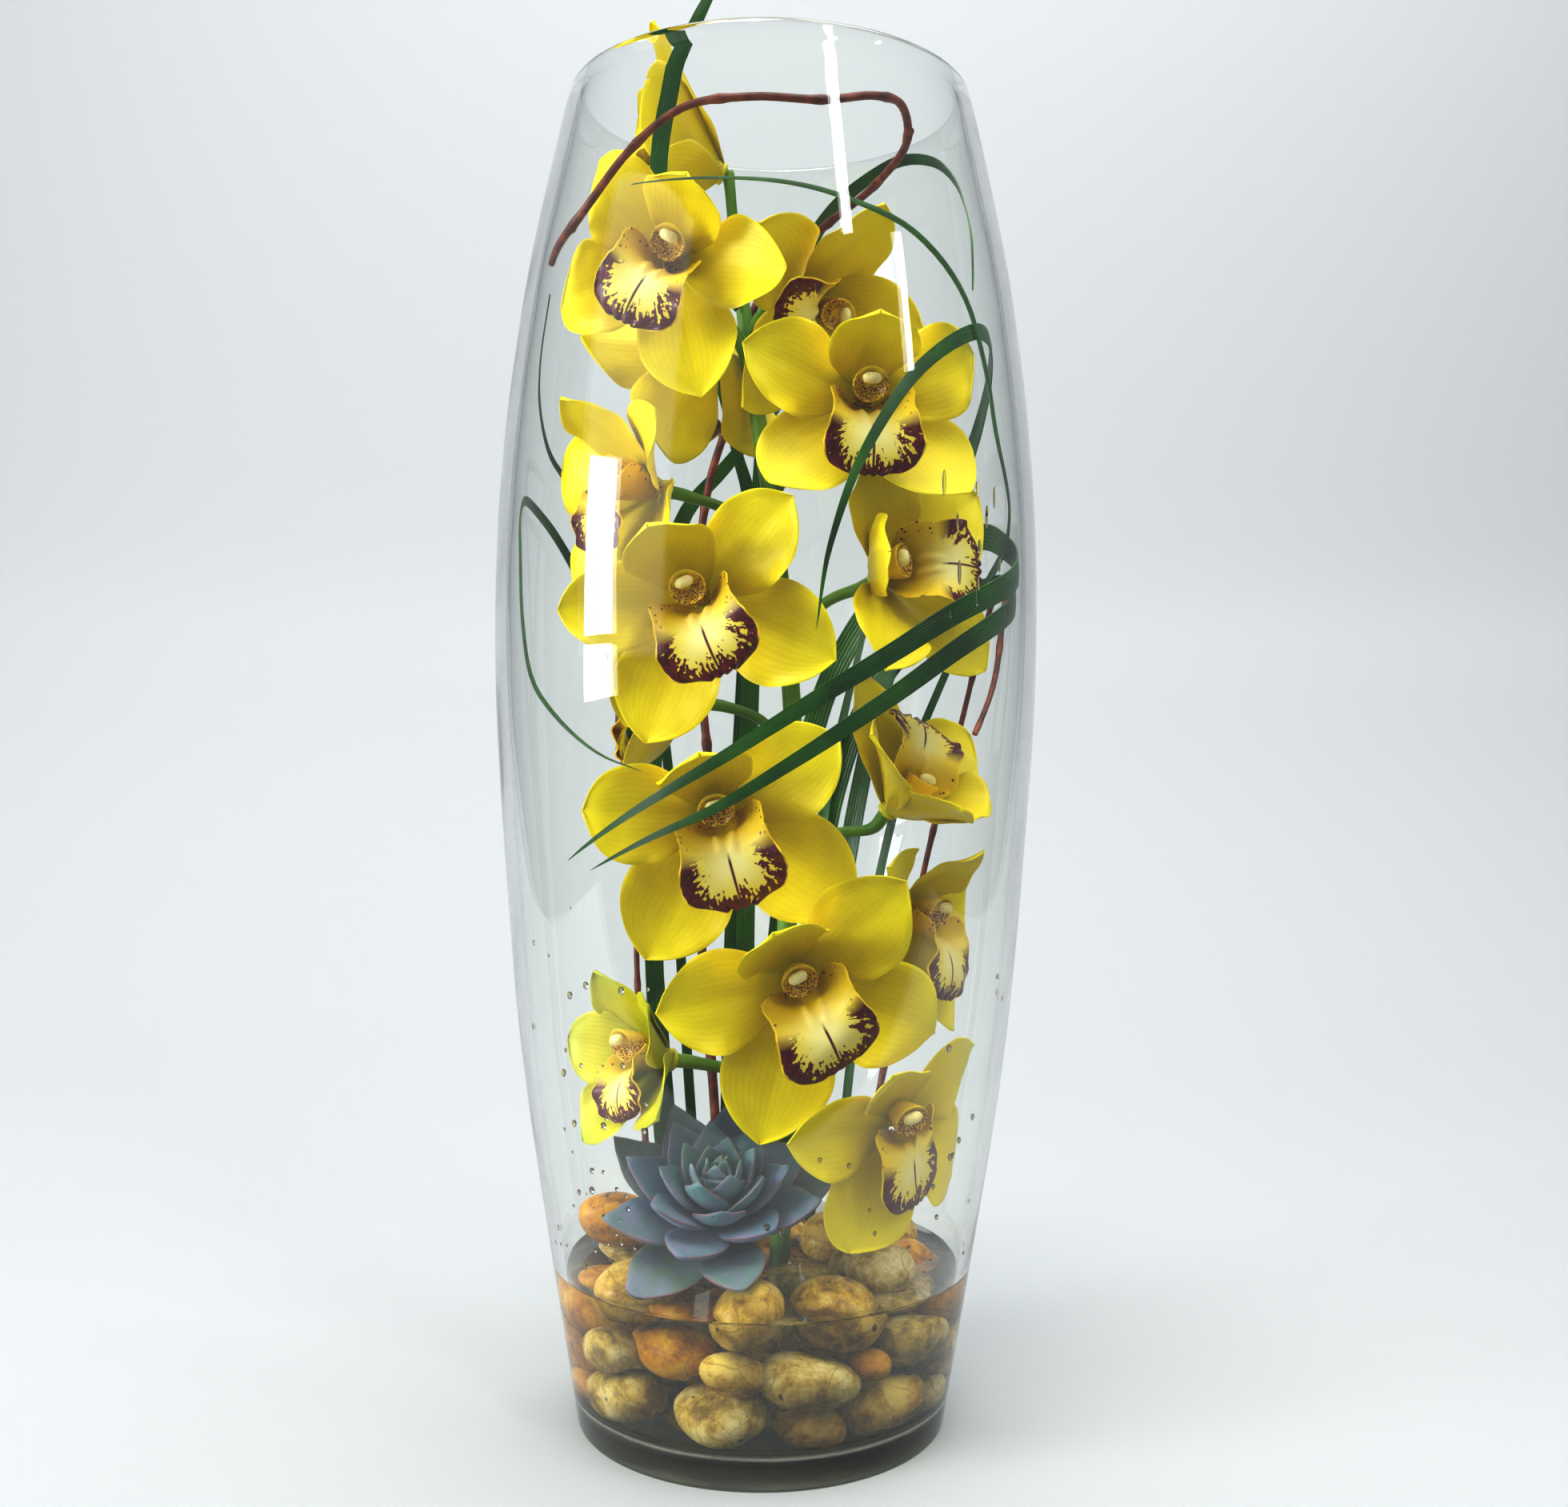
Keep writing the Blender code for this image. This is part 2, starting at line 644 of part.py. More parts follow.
def facing(point):
    """Which way a blade's face looks: square to the glass beside it, to the front further in."""
    reach = point.xy.length
    level = min(point.z, VASE_HEIGHT - 0.002)
    slope = (inner_radius(level + 0.001) - inner_radius(level - 0.001)) / 0.002
    inset = inner_radius(level) - reach
    front = min(max((inset - 0.012) / 0.020, 0), 1)
    square = Vector((point.x / reach, point.y / reach, -slope)).normalized()
    return square.lerp(Vector((0, -1, 0)), front).normalized()


def make_blade(number, width, points):
    """A blade that lies along the glass, narrow at its foot and drawn out to a point."""
    path = wall_path(points, BLADE_STEP)
    last = len(path) - 1

    def place(u, v):
        i = round(u * last)
        ahead = (path[min(i + 1, last)] - path[max(i - 1, 0)]).normalized()
        outward = facing(path[i])
        t = i / last
        wide = min(0.55 + 3 * t, 1) * (1 - max(t - 0.6, 0) / 0.4) ** 0.75
        return path[i] + ahead.cross(outward).normalized() * v * wide * width / 2

    solid = thicken(mesh_object("blade", sheet(last, 1, place)), BLADE_THICKNESS)
    mesh = solid.data
    bpy.data.objects.remove(solid, do_unlink=True)
    return add_object(f"grass_{number:02d}", mesh, BLADE)


def make_twig(number, thick, thin, points):
    """A twig near the glass that thins out to its tip."""
    path = wall_path(points, 0.018)
    last = len(path) - 1
    line = [(*point, thick + (thin - thick) * i / last) for i, point in enumerate(path)]
    solid = tube(line, 1)
    mesh = solid.data
    bpy.data.objects.remove(solid, do_unlink=True)
    return add_object(f"willow_{number:02d}", mesh, BARK)


def pebble(size, seed):
    """A worn stone: a block with uneven corners, softened all round."""
    draw = random.Random(seed)
    work = bmesh.new()
    bmesh.ops.create_cube(work, size=1.32)
    for vertex in work.verts:
        vertex.co *= draw.uniform(0.86, 1.10)
    sides = [side * draw.uniform(0.90, 1.10) for side in size]
    work.transform(Matrix.Diagonal((*sides, 1)))
    block = mesh_object("block", work)
    soft = block.modifiers.new("soften", "SUBSURF")
    soft.levels = 1
    soft.render_levels = 1
    mesh = evaluated_mesh(block)
    remove(block)
    work = bmesh.new()
    work.from_mesh(mesh)
    bpy.data.meshes.remove(mesh)
    bmesh.ops.triangulate(work, faces=work.faces)
    return work


def surface(meshes):
    """One search tree over several meshes."""
    verts, faces = [], []
    for mesh in meshes:
        first = len(verts)
        verts += [vertex.co.copy() for vertex in mesh.vertices]
        faces += [[first + i for i in face.vertices] for face in mesh.polygons]
    return BVHTree.FromPolygons(verts, faces)


def settle(work, starts, around, slides=True):
    """Let a shape down from each start, sliding where that lets it go on; keep the lowest place."""
    mesh = bpy.data.meshes.new("shape")
    work.to_mesh(mesh)
    shell = grown(mesh, PEBBLE_CLEARANCE)
    bpy.data.meshes.remove(mesh)
    verts = [vertex.co.copy() for vertex in shell.verts]
    faces = [[vertex.index for vertex in face.verts] for face in shell.faces]
    shell.free()

    def free(at):
        return not BVHTree.FromPolygons([v + at for v in verts], faces).overlap(around)

    lowest = None
    for start in starts:
        at = Vector(start)
        if not free(at):
            continue
        for step in (0.002, 0.001, 0.0004, 0.0001):
            moving = True
            while moving:
                moving = False
                inward = -Vector((at.x, at.y, 0)).normalized()
                sideways = Vector((-inward.y, inward.x, 0))
                ways = [Vector()]
                if slides:
                    ways += [way * much for much in (0.8, 2.4) for way in (-inward, sideways, -sideways, inward)]
                for slide in ways:
                    target = at + Vector((0, 0, -step)) + slide * step
                    if free(target):
                        at = target
                        moving = True
                        break
        if lowest is None or at.z < lowest.z:
            lowest = at
    work.transform(Matrix.Translation(lowest))
    return lowest


def finished_mesh(work, name):
    """A mesh from a bmesh, which is freed."""
    mesh = bpy.data.meshes.new(name)
    work.to_mesh(mesh)
    work.free()
    return mesh


def stem_foot(more):
    """The lower part of the flower stem alone, thicker by a distance."""
    line = [(*stem_at(z), STEM[0][3] + more) for z in (STEM[0][2] - more, 0.045, STEM[1][2])]
    return tube(line)


def make_bed(vase):
    """The pebbles in the middle, which lean on one another, and the holes they leave in water."""
    shapes = []
    for i, (turn, reach, lift) in enumerate(BED_PEBBLES):
        work = pebble([side * 1.12 for side in PEBBLE_SIZE], 100 + i)
        angle = math.radians(turn)
        work.transform(Matrix.Rotation(angle + 1.2, 4, "Z"))
        work.transform(Matrix.Translation((reach * math.sin(angle), -reach * math.cos(angle), lift / 1000)))
        shapes.append(finished_mesh(work, "ball"))
    balls = []
    for shape in shapes:
        balls.append(bpy.data.objects.new("ball", shape.copy()))
        cutters.objects.link(balls[-1])
    work = bmesh.new()
    work.from_mesh(boolean(balls[0], balls[1:], "UNION"))
    at = settle(work, [(0, 0, 0.040)], surface([vase.data]), slides=False)
    for shape in shapes:
        shape.transform(Matrix.Translation(at))
    mesh = boolean(mesh_object("bed", work), [stem_foot(GAP)], "DIFFERENCE")
    return add_object("pebble_bed", mesh, STONES[1]), shapes


def make_pebbles(standing):
    """Pebbles let down one by one, each to the lowest of several places round the glass."""
    draw = random.Random(7)
    made = []
    for number in range(1, PEBBLES + 1):
        work = pebble(PEBBLE_SIZE, number)
        turn = math.radians(137.5 * number)
        tilt = Euler((draw.uniform(-0.4, 0.4), draw.uniform(-0.3, 0.3), turn + draw.uniform(-0.4, 0.4)))
        work.transform(tilt.to_matrix().to_4x4())
        starts = []
        for i in range(PEBBLE_TRIES):
            at = turn + math.tau * i / PEBBLE_TRIES
            for reach in (PEBBLE_REACH, PEBBLE_REACH - 0.008):
                starts.append((reach * math.sin(at), -reach * math.cos(at), PEBBLE_DROP))
        settle(work, starts, surface([o.data for o in standing + made]))
        mesh = finished_mesh(work, "pebble")
        made.append(add_object(f"pebble_{number:02d}", mesh, draw.choice(STONES)))
    return made


def make_rosette(around):
    """Spoon-shaped leaves in a spiral on a short stub, leaning towards the front."""
    pieces = []
    lean = Matrix.Rotation(math.radians(ROSETTE_TILT), 4, "X")
    work = bmesh.new()
    bmesh.ops.create_cone(
        work, cap_ends=True, segments=8, radius1=0.006, radius2=0.007, depth=0.024,
        matrix=lean @ Matrix.Translation((0, 0, -0.002)),
    )
    stem_side = stem_at(0.09).y - ROSETTE_PLACE[1] - 0.008
    for i in range(ROSETTE_LEAVES):
        t = i / (ROSETTE_LEAVES - 1)
        rise = 74 - 66 * t ** 0.8
        place = tepal(
            137.5 * i, 0.018 + 0.028 * t, 0.013 + 0.013 * t, rise, rise + 22, 45, 0.008 - 0.016 * t, 0.0015
        )
        leaf = sheet(3, 2, place)
        leaf.transform(lean)
        for vertex in leaf.verts:
            vertex.co.y = eased(vertex.co.y, stem_side, 0.010)
        pieces.append(thicken(mesh_object("leaf", leaf), LEAF_THICKNESS * (0.7 + 0.3 * t)))
    mesh = boolean(mesh_object("stub", work), pieces, "UNION")
    work = bmesh.new()
    work.from_mesh(mesh)
    starts = [(*ROSETTE_PLACE, ROSETTE_DROP - 0.003 * i) for i in range(12)]
    settle(work, starts, around, slides=False)
    return add_object("echeveria", finished_mesh(work, "echeveria"), SUCCULENT)


vase = make_vase()
stem = make_stem()
blades = [make_blade(i + 1, *values) for i, values in enumerate(GRASS)]
twigs = [make_twig(i + 1, *values) for i, values in enumerate(WILLOW)]
bed, bed_shapes = make_bed(vase)
foot = stem_foot(0)
pebbles = make_pebbles([vase, foot, bed, *blades, *twigs])
rosette = make_rosette(surface([o.data for o in [vase, stem, bed, *blades, *twigs, *pebbles]]))
flower_parts = [flower_sheets(*values) for values in FLOWERS]
for sheets in flower_parts:
    keep_in_vase(sheets)
for point in all_points(flower_parts[0]):
    point.y = -eased(-point.y, FIRST_FLOWER_FRONT, 0.012)
for i, first in enumerate(flower_parts):
    for second in flower_parts[:i]:
        part_flowers(first, second)
for i, sheets in enumerate(flower_parts):
    make_flower(i + 1, FLOWERS[i][:4], sheets)
water = make_water([o.data for o in [foot, *blades, *twigs, *pebbles, rosette]] + bed_shapes)
remove(foot)
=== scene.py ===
import json
import math
import random
from functools import partial

import bpy
from mathutils import Matrix, Vector, noise


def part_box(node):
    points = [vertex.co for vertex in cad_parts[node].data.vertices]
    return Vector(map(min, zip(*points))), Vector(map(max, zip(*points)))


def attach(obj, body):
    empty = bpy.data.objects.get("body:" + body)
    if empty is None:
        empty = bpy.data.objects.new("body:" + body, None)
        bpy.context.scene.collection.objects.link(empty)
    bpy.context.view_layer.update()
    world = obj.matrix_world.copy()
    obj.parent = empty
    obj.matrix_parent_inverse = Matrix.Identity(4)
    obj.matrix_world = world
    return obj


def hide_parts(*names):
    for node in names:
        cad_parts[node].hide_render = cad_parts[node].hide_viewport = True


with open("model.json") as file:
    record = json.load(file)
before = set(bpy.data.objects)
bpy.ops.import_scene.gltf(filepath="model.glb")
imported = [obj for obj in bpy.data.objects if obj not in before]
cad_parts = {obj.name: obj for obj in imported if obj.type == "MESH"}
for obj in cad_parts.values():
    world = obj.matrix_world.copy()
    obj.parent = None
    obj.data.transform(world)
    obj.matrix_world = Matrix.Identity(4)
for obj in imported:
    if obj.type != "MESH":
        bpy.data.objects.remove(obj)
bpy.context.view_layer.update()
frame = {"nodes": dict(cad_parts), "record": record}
nodes = frame["nodes"]
scene = bpy.context.scene
print("frame loaded:", len(nodes), "nodes")


# Shared tools

def toLinear(hexCode):
    values = [int(hexCode[i:i + 2], 16) / 255 for i in (1, 3, 5)]
    return [v / 12.92 if v <= 0.04045 else ((v + 0.055) / 1.055) ** 2.4 for v in values] + [1.0]


def setNode(node, settings):
    # a setting is an input's value, hex colour or source, a ramp's stops, or one of the node's own properties
    for key, value in settings.items():
        if key == "stops":  # place, and hex colour or grey
            elements = node.color_ramp.elements
            while len(elements) < len(value):
                elements.new(0.5)
            for element, (place, colour) in zip(elements, value):
                element.position = place
                element.color = toLinear(colour) if isinstance(colour, str) else (colour, colour, colour, 1)
        elif not isinstance(key, int) and key not in node.inputs:
            setattr(node, key, value)
        elif isinstance(value, bpy.types.NodeSocket):
            node.id_data.links.new(value, node.inputs[key])
        else:
            node.inputs[key].default_value = toLinear(value) if isinstance(value, str) else value


def addNode(material, kind, settings=None):
    node = material.node_tree.nodes.new("ShaderNode" + kind)
    setNode(node, settings or {})
    return node.outputs


def newMaterial(name, settings):
    # a Principled material with plain values, its shader, and what adds nodes to it
    material = bpy.data.materials.new(name)
    material.use_nodes = True
    shader = material.node_tree.nodes["Principled BSDF"]
    setNode(shader, settings)
    return material, shader, partial(addNode, material)


def smoothAlong(points, t):
    # value at t on a smooth line through (t, value) pairs
    t = min(max(t, points[0][0]), points[-1][0])
    for i in range(len(points) - 1):
        if t <= points[i + 1][0]:
            break
    (t0, a), (t1, b) = points[i], points[i + 1]
    before = points[i - 1] if i > 0 else points[i]
    after = points[i + 2] if i + 2 < len(points) else points[i + 1]
    slopeA = (b - before[1]) / (t1 - before[0])
    slopeB = (after[1] - a) / (after[0] - t0)
    s = (t - t0) / (t1 - t0)
    bend = (t1 - t0) * s * (1 - s) * (slopeA * (1 - s) - slopeB * s)
    return a * (1 + 2 * s) * (1 - s) ** 2 + b * s * s * (3 - 2 * s) + bend


def pick(piece):
    bpy.ops.object.select_all(action="DESELECT")
    piece.select_set(True)
    bpy.context.view_layer.objects.active = piece


def editAll():
    bpy.ops.object.mode_set(mode="EDIT")
    bpy.ops.mesh.select_all(action="SELECT")


def mergeDoubles():
    bpy.ops.mesh.remove_doubles(threshold=0.00002)


def closeShell():
    # seams and poles close, faces turn outwards, and edit mode ends
    mergeDoubles()
    bpy.ops.mesh.normals_make_consistent(inside=False)
    bpy.ops.object.mode_set(mode="OBJECT")


def gridPiece(name, along, across, place, closed=False):
    # a flat grid whose corners go where place(u, v) says, u 0 to 1 along and v -1 to 1 across
    bpy.ops.object.select_all(action="DESELECT")
    bpy.ops.mesh.primitive_grid_add(x_subdivisions=across, y_subdivisions=along, size=2)
    piece = bpy.context.object
    piece.name = name
    for vertex in piece.data.vertices:
        vertex.co = place((vertex.co.y + 1) / 2, vertex.co.x)
    if closed:  # the long edges meet, and each end draws in to a point
        editAll()
        closeShell()
    return piece


def modify(piece, kind, **settings):
    pick(piece)
    change = piece.modifiers.new(kind.title(), kind)
    for key, value in settings.items():
        setattr(change, key, value)
    bpy.ops.object.modifier_apply(modifier=change.name)


def thicken(piece, thickness):
    modify(piece, "SOLIDIFY", thickness=thickness, offset=0)


def soften(piece, levels=1):
    modify(piece, "SUBSURF", levels=levels, render_levels=levels)


def joined(name, pieces):
    bpy.ops.object.select_all(action="DESELECT")
    for piece in pieces:
        piece.select_set(True)
    bpy.context.view_layer.objects.active = pieces[0]
    bpy.ops.object.join()
    pieces[0].name = name
    return pieces[0]


def finish(piece, node, material=None, angle=60):
    pick(piece)
    bpy.ops.object.shade_smooth_by_angle(angle=math.radians(angle))
    if material:
        piece.data.materials.clear()
        piece.data.materials.append(material)
    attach(piece, "root")
    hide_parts(node)


# Vase: clear blown glass with a heavy floor

vase = {
    "height": 0.500,
    "wall": 0.0045,
    "floor": 0.010,
    "footRound": 0.003,
    "floorRound": 0.008,
    "sides": 128,
    "outline": [(0.000, 0.0692), (0.067, 0.0802), (0.140, 0.0912), (0.211, 0.0977),
                (0.285, 0.1019), (0.354, 0.1002), (0.427, 0.0913), (0.500, 0.0758)],
    "levels": [0.022 + 0.0058 * i for i in range(82)],
    "lowLevel": 0.012,
    "floorRings": (0, 0.020, 0.040), "footRings": (0.045, 0.020, 0),
    "tint": "#FCFEFC",
    # the foot's dark colour is painted shade, up to footTop
    "paintedFootShade": "#5A5B4E", "footTop": (0.0105, 0.0150),
}


def outerRadius(z):
    return smoothAlong(vase["outline"], z)


def innerRadius(z):
    return outerRadius(z) - vase["wall"]


def arcPoints(centre, radius, start, end, steps):
    turns = [math.radians(start + (end - start) * i / steps) for i in range(steps + 1)]
    return [(centre[0] + radius * math.cos(a), centre[1] + radius * math.sin(a)) for a in turns]


def floorArc(radius):
    # the round between floor and wall, inside
    level = vase["floor"] + vase["floorRound"]
    return arcPoints((innerRadius(level) - vase["floorRound"], level), radius, -90, 0, 8)


def spunPiece(name, profile):
    # one vertex is drawn along the (radius, height) profile and the line is spun round the axis
    bpy.ops.object.select_all(action="DESELECT")
    bpy.ops.mesh.primitive_plane_add(size=0.001, location=(0, 0, 0))
    piece = bpy.context.object
    piece.name = name
    editAll()
    bpy.ops.mesh.merge(type="CENTER")
    at = profile[0]
    bpy.ops.transform.translate(value=(at[0], 0, at[1]))
    for point in profile[1:]:
        step = (point[0] - at[0], 0, point[1] - at[1])
        bpy.ops.mesh.extrude_region_move(TRANSFORM_OT_translate={"value": step})
        at = point
    bpy.ops.mesh.select_all(action="SELECT")
    bpy.ops.mesh.spin(steps=vase["sides"], angle=math.tau, center=(0, 0, 0), axis=(0, 0, 1))
    bpy.ops.mesh.select_all(action="SELECT")
    closeShell()
    return piece


def clearMaterial(name, colour, ior):
    # light from the lamps passes straight through, as it does through thin clean glass
    material, shader, add = newMaterial(name, {
        "Base Color": colour, "Roughness": 0.0, "IOR": ior, "Transmission Weight": 1.0,
    })
    through = add("BsdfTransparent", {"Color": colour})
    mixed = add("MixShader", {0: add("LightPath")["Is Shadow Ray"], 1: shader.outputs[0], 2: through[0]})
    setNode(material.node_tree.nodes["Material Output"], {"Surface": mixed[0]})
    return material, shader, add


def makeVase():
    lip = vase["wall"] / 2
    rimMiddle = (outerRadius(vase["height"]) - lip, vase["height"] - lip)
    footCorner = (outerRadius(vase["footRound"]) - vase["footRound"], vase["footRound"])
    profile = [(radius, vase["floor"]) for radius in vase["floorRings"]]
    profile += floorArc(vase["floorRound"])
    profile += [(innerRadius(z), z) for z in vase["levels"]]
    profile += arcPoints(rimMiddle, lip, 180, 0, 8)
    profile += [(outerRadius(z), z) for z in reversed([vase["lowLevel"]] + vase["levels"])]
    profile += arcPoints(footCorner, vase["footRound"], 0, -90, 6)
    profile += [(radius, 0) for radius in vase["footRings"]]
    return spunPiece("barrelVase", profile)


# Soda-lime glass, blown and fire-polished: glossy, clear and faintly wavy, with shade painted into the foot:
# the glass is tinted dark grey-green up to just above the floor
blownGlass, shader, add = clearMaterial("blownGlass", vase["tint"], 1.51)
where = add("TexCoord")
axes = add("SeparateXYZ", {0: where["Object"]})
# painted shade: below footTop the glass colour turns dark grey-green
rise = add("MapRange", {"From Min": vase["footTop"][0], "From Max": vase["footTop"][1], "Value": axes[2]})
shade = add("Mix", {"data_type": "RGBA", 0: rise[0], 6: vase["paintedFootShade"], 7: vase["tint"]})
waves = add("TexNoise", {"Scale": 1 / 0.045, "Detail": 1.0, "Vector": where["Object"]})
ripple = add("Bump", {"Strength": 0.06, "Distance": 0.004, "Height": waves[0]})
setNode(shader, {"Base Color": shade[2], "Normal": ripple[0]})
finish(makeVase(), "vase", blownGlass, 40)
print("vase made")


# Water: still, with a small meniscus where it wets the glass

water = {
    "level": 0.060,
    "wallLevels": (0.026, 0.034, 0.042, 0.050, 0.056, 0.0615),
    "wetting": 0.00012,  # reaches this far into the glass, so that no film of air shows
    "meniscus": 0.0016, "meniscusReach": 0.0013, "meniscusStep": 0.0007,
    # a faint warm tint, painted in for light thrown back from the stones
    "colour": "#F3F2E8",
    "drops": 84,
    "clusters": ((-48, 14), (-30, 30), (48, 16)),  # turn and its spread
    "dropFoot": 0.070, "dropReach": 0.045, "dropHeights": (0.072, 0.42), "dropSizes": (0.0004, 0.0012),
    "runs": 12,
    "runTurns": (36, 58), "runHeights": (0.295, 0.345), "runSizes": (0.0005, 0.0008), "runStretch": (2.5, 6),
    "dropSag": 1.35, "dropFlat": 0.55, "dropSunk": 0.15,
}


def makeWater():
    level, wetting = water["level"], water["wetting"]
    profile = [(0, vase["floor"] - wetting)]
    profile += floorArc(vase["floorRound"] + wetting)
    profile += [(innerRadius(z) + wetting, z) for z in water["wallLevels"]]
    for i in range(1, 8):  # the surface climbs the glass over the last few millimetres
        away = water["meniscusStep"] * i
        climb = water["meniscus"] * math.exp(-away / water["meniscusReach"])
        profile.append((innerRadius(level) - away, level + climb))
    profile += [(0.050, level), (0, level)]
    return spunPiece("vaseWater", profile)


def makeDrops():
    # condensed drops cling to the inside of the glass, mostly low down on the left; the first few have run
    random.seed(11)
    pieces = []
    for i in range(water["drops"]):
        turn = math.radians(random.choice([random.gauss(*cluster) for cluster in water["clusters"]]))
        low, high = water["dropHeights"]
        z = min(max(water["dropFoot"] + random.expovariate(1 / water["dropReach"]), low), high)
        size, stretch = random.uniform(*water["dropSizes"]), 1
        if i < water["runs"]:
            turn, z = math.radians(random.uniform(*water["runTurns"])), random.uniform(*water["runHeights"])
            size, stretch = random.uniform(*water["runSizes"]), random.uniform(*water["runStretch"])
        bpy.ops.object.select_all(action="DESELECT")
        bpy.ops.mesh.primitive_uv_sphere_add(segments=12, ring_count=8, radius=size)
        drop = bpy.context.object
        lean = Matrix.Rotation(turn, 3, "Z")
        away = innerRadius(z) - size * water["dropSunk"]
        for vertex in drop.data.vertices:
            sag = stretch * (water["dropSag"] if vertex.co.z < 0 else 1.0)
            local = Vector((vertex.co.x, vertex.co.y * water["dropFlat"] - away, vertex.co.z * sag))
            vertex.co = lean @ local + Vector((0, 0, z))
        pieces.append(drop)
    return pieces


# Clean still water: mirror-smooth and clear, with a faint warm tint painted in for light thrown back from the
# stones
stillWater = clearMaterial("stillWater", water["colour"], 1.333)[0]
finish(joined("vaseWater", [makeWater()] + makeDrops()), "water", stillWater, 40)
print("water made")


# Orchid flowers, pressed clear of the glass and of one another as in the CAD

flower = {
    "tepalLength": 0.051, "tepalWidth": 0.038,
    "petalLength": 0.049, "petalWidth": 0.034,
    "lipLength": 0.043, "lipWidth": 0.037,
    "columnLength": 0.021,
    "sheet": 0.00062,
    "sepalAngles": [0, 138, -137], "petalAngles": [71, -71],
    "sepalRise": (22, 8), "sepalCup": 22, "sepalStart": -0.001,
    "petalRise": (36, 16), "petalCup": 20, "petalStart": 0.0008,
    "topNarrower": 0.85,
    "hood": (26, 84),  # how much more the top sepal leans over, at its claw and at its tip
    "closing": 55,  # degrees that the tepals rise in a closed flower
    "toGlass": 0.0078, "glassEase": 0.010,
    "lowest": 0.076, "lowestEase": 0.008,
    "firstFront": 0.004, "firstEase": 0.012,
    "parting": 0.0011, "partingEase": (0.004, 0.4),
    # half widths of the lip as it was packed, which the presses rest on, and as it is made here
    "packedLip": [(0, 0.10), (0.2, 0.30), (0.38, 0.44), (0.52, 0.34),
                  (0.74, 0.50), (0.92, 0.38), (1, 0.16)],
    "ruffledLip": [(0, 0.10), (0.2, 0.33), (0.38, 0.50), (0.52, 0.43),
                   (0.74, 0.475), (0.92, 0.385), (1, 0.19)],
    "lipSlope": [(0, 12), (0.35, 18), (0.62, 70), (1, 128)],
    "lipCurl": [(0, 75), (0.3, 78), (0.5, 55), (0.75, 5), (1, -20)],
    "steps": 24,
    "ruffle": 0.0013, "fineRuffle": 0.0004, "ruffleReach": 0.0028,
    "callus": 0.0022,
    "wave": 0.0017, "groove": 0.0009, "tipBack": 0.0020,
    "directions": 300,
}
# joint with the stalk, turn to the right, lift, clockwise roll, size, closing
flowerPoses = [
    ((-0.020, 0.012, 0.477), -76, 22, 0, 1.20, 0.46),
    ((-0.035, -0.024, 0.430), -6, 0, 28, 1.00, 0.00),
    ((-0.021, 0.001, 0.407), -138, -16, 10, 1.00, 0.05),
    ((0.012, 0.000, 0.424), 40, -26, 76, 0.98, 0.10),
    ((0.034, -0.026, 0.380), 6, 0, 0, 1.03, 0.00),
    ((-0.041, -0.002, 0.352), -56, 6, -8, 1.00, 0.10),
    ((-0.023, -0.030, 0.308), -10, 0, -24, 1.06, 0.00),
    ((0.042, -0.016, 0.318), 30, 12, -85, 1.00, 0.05),
    ((0.048, 0.000, 0.232), 46, 40, -150, 1.00, 0.33),
    ((-0.016, -0.036, 0.230), 0, 0, -16, 1.08, 0.00),
    ((-0.028, 0.010, 0.272), -88, 8, 10, 1.00, 0.26),
    ((0.013, -0.042, 0.172), 2, 0, -28, 1.10, 0.00),
    ((0.052, 0.010, 0.188), 50, 4, 10, 1.02, 0.08),
    ((-0.036, -0.012, 0.138), -54, 12, -20, 0.84, 0.33),
    ((0.046, -0.034, 0.122), 18, 0, -20, 1.02, 0.00),
]
greenFlower = 13  # the one that isn't quite ripe


def tepalPlace(angle, length, width, rise, tipRise, cup, start, root=0.0028, wave=0.0, seed=0.0):
    # where (u, v) of a tepal lies in its flower, whose +Z is its face and +Y its top
    steps = flower["steps"]
    line = [Vector((root, 0, start))]
    slopes = []
    for i in range(steps + 1):
        slopes.append(math.radians(rise + (tipRise - rise) * i / steps))
        line.append(line[-1] + Vector((math.cos(slopes[-1]), 0, math.sin(slopes[-1]))) * length / steps)
    turn = Matrix.Rotation(math.radians(90 - angle), 3, "Z")

    def place(u, v):
        u = u ** 0.8
        i = min(int(u * steps), steps - 1)
        middle = line[i].lerp(line[i + 1], u * steps - i)
        slope = slopes[i]
        wide = (math.sin(math.pi * (0.035 + 0.965 * u) ** 1.3) if u < 1 else 0) ** 0.7
        bend = v * wide * width / 2 * cup
        across = math.sin(bend) / cup
        lift = (1 - math.cos(bend)) / cup
        if wave:
            # a groove along the middle, edges that wander a little, and a tip that turns back
            lift -= flower["groove"] * math.exp(-(v / 0.10) ** 2) * math.sin(math.pi * min(u * 1.1, 1))
            reach = abs(v) ** 3 * wide
            lift += wave * reach * math.sin(9 * u + 4 * v + seed)
            lift += wave * 0.5 * reach * math.sin(21 * u - 7 * v + 2 * seed)
            lift -= flower["tipBack"] * max(u - 0.80, 0) / 0.20 * (1 - v * v)
        up = Vector((-math.sin(slope), 0, math.cos(slope)))
        return turn @ (middle + Vector((0, across, 0)) + up * lift)

    return place


def lipEdge(u, v):
    # distance from the lip's margin in metres, roughly
    side = (1 - abs(v)) * flower["lipWidth"] * smoothAlong(flower["ruffledLip"], u)
    end = (1 - u) * flower["lipLength"] + 0.0012 * (1 - abs(v))
    return min(side, end) if u > 0.5 else side


def lipTurn(u, v):
    # the way round the middle of the front lobe, on a lip 43 mm long and 18 mm to each side
    return math.atan2((u - 0.55) * 43, v * 18)


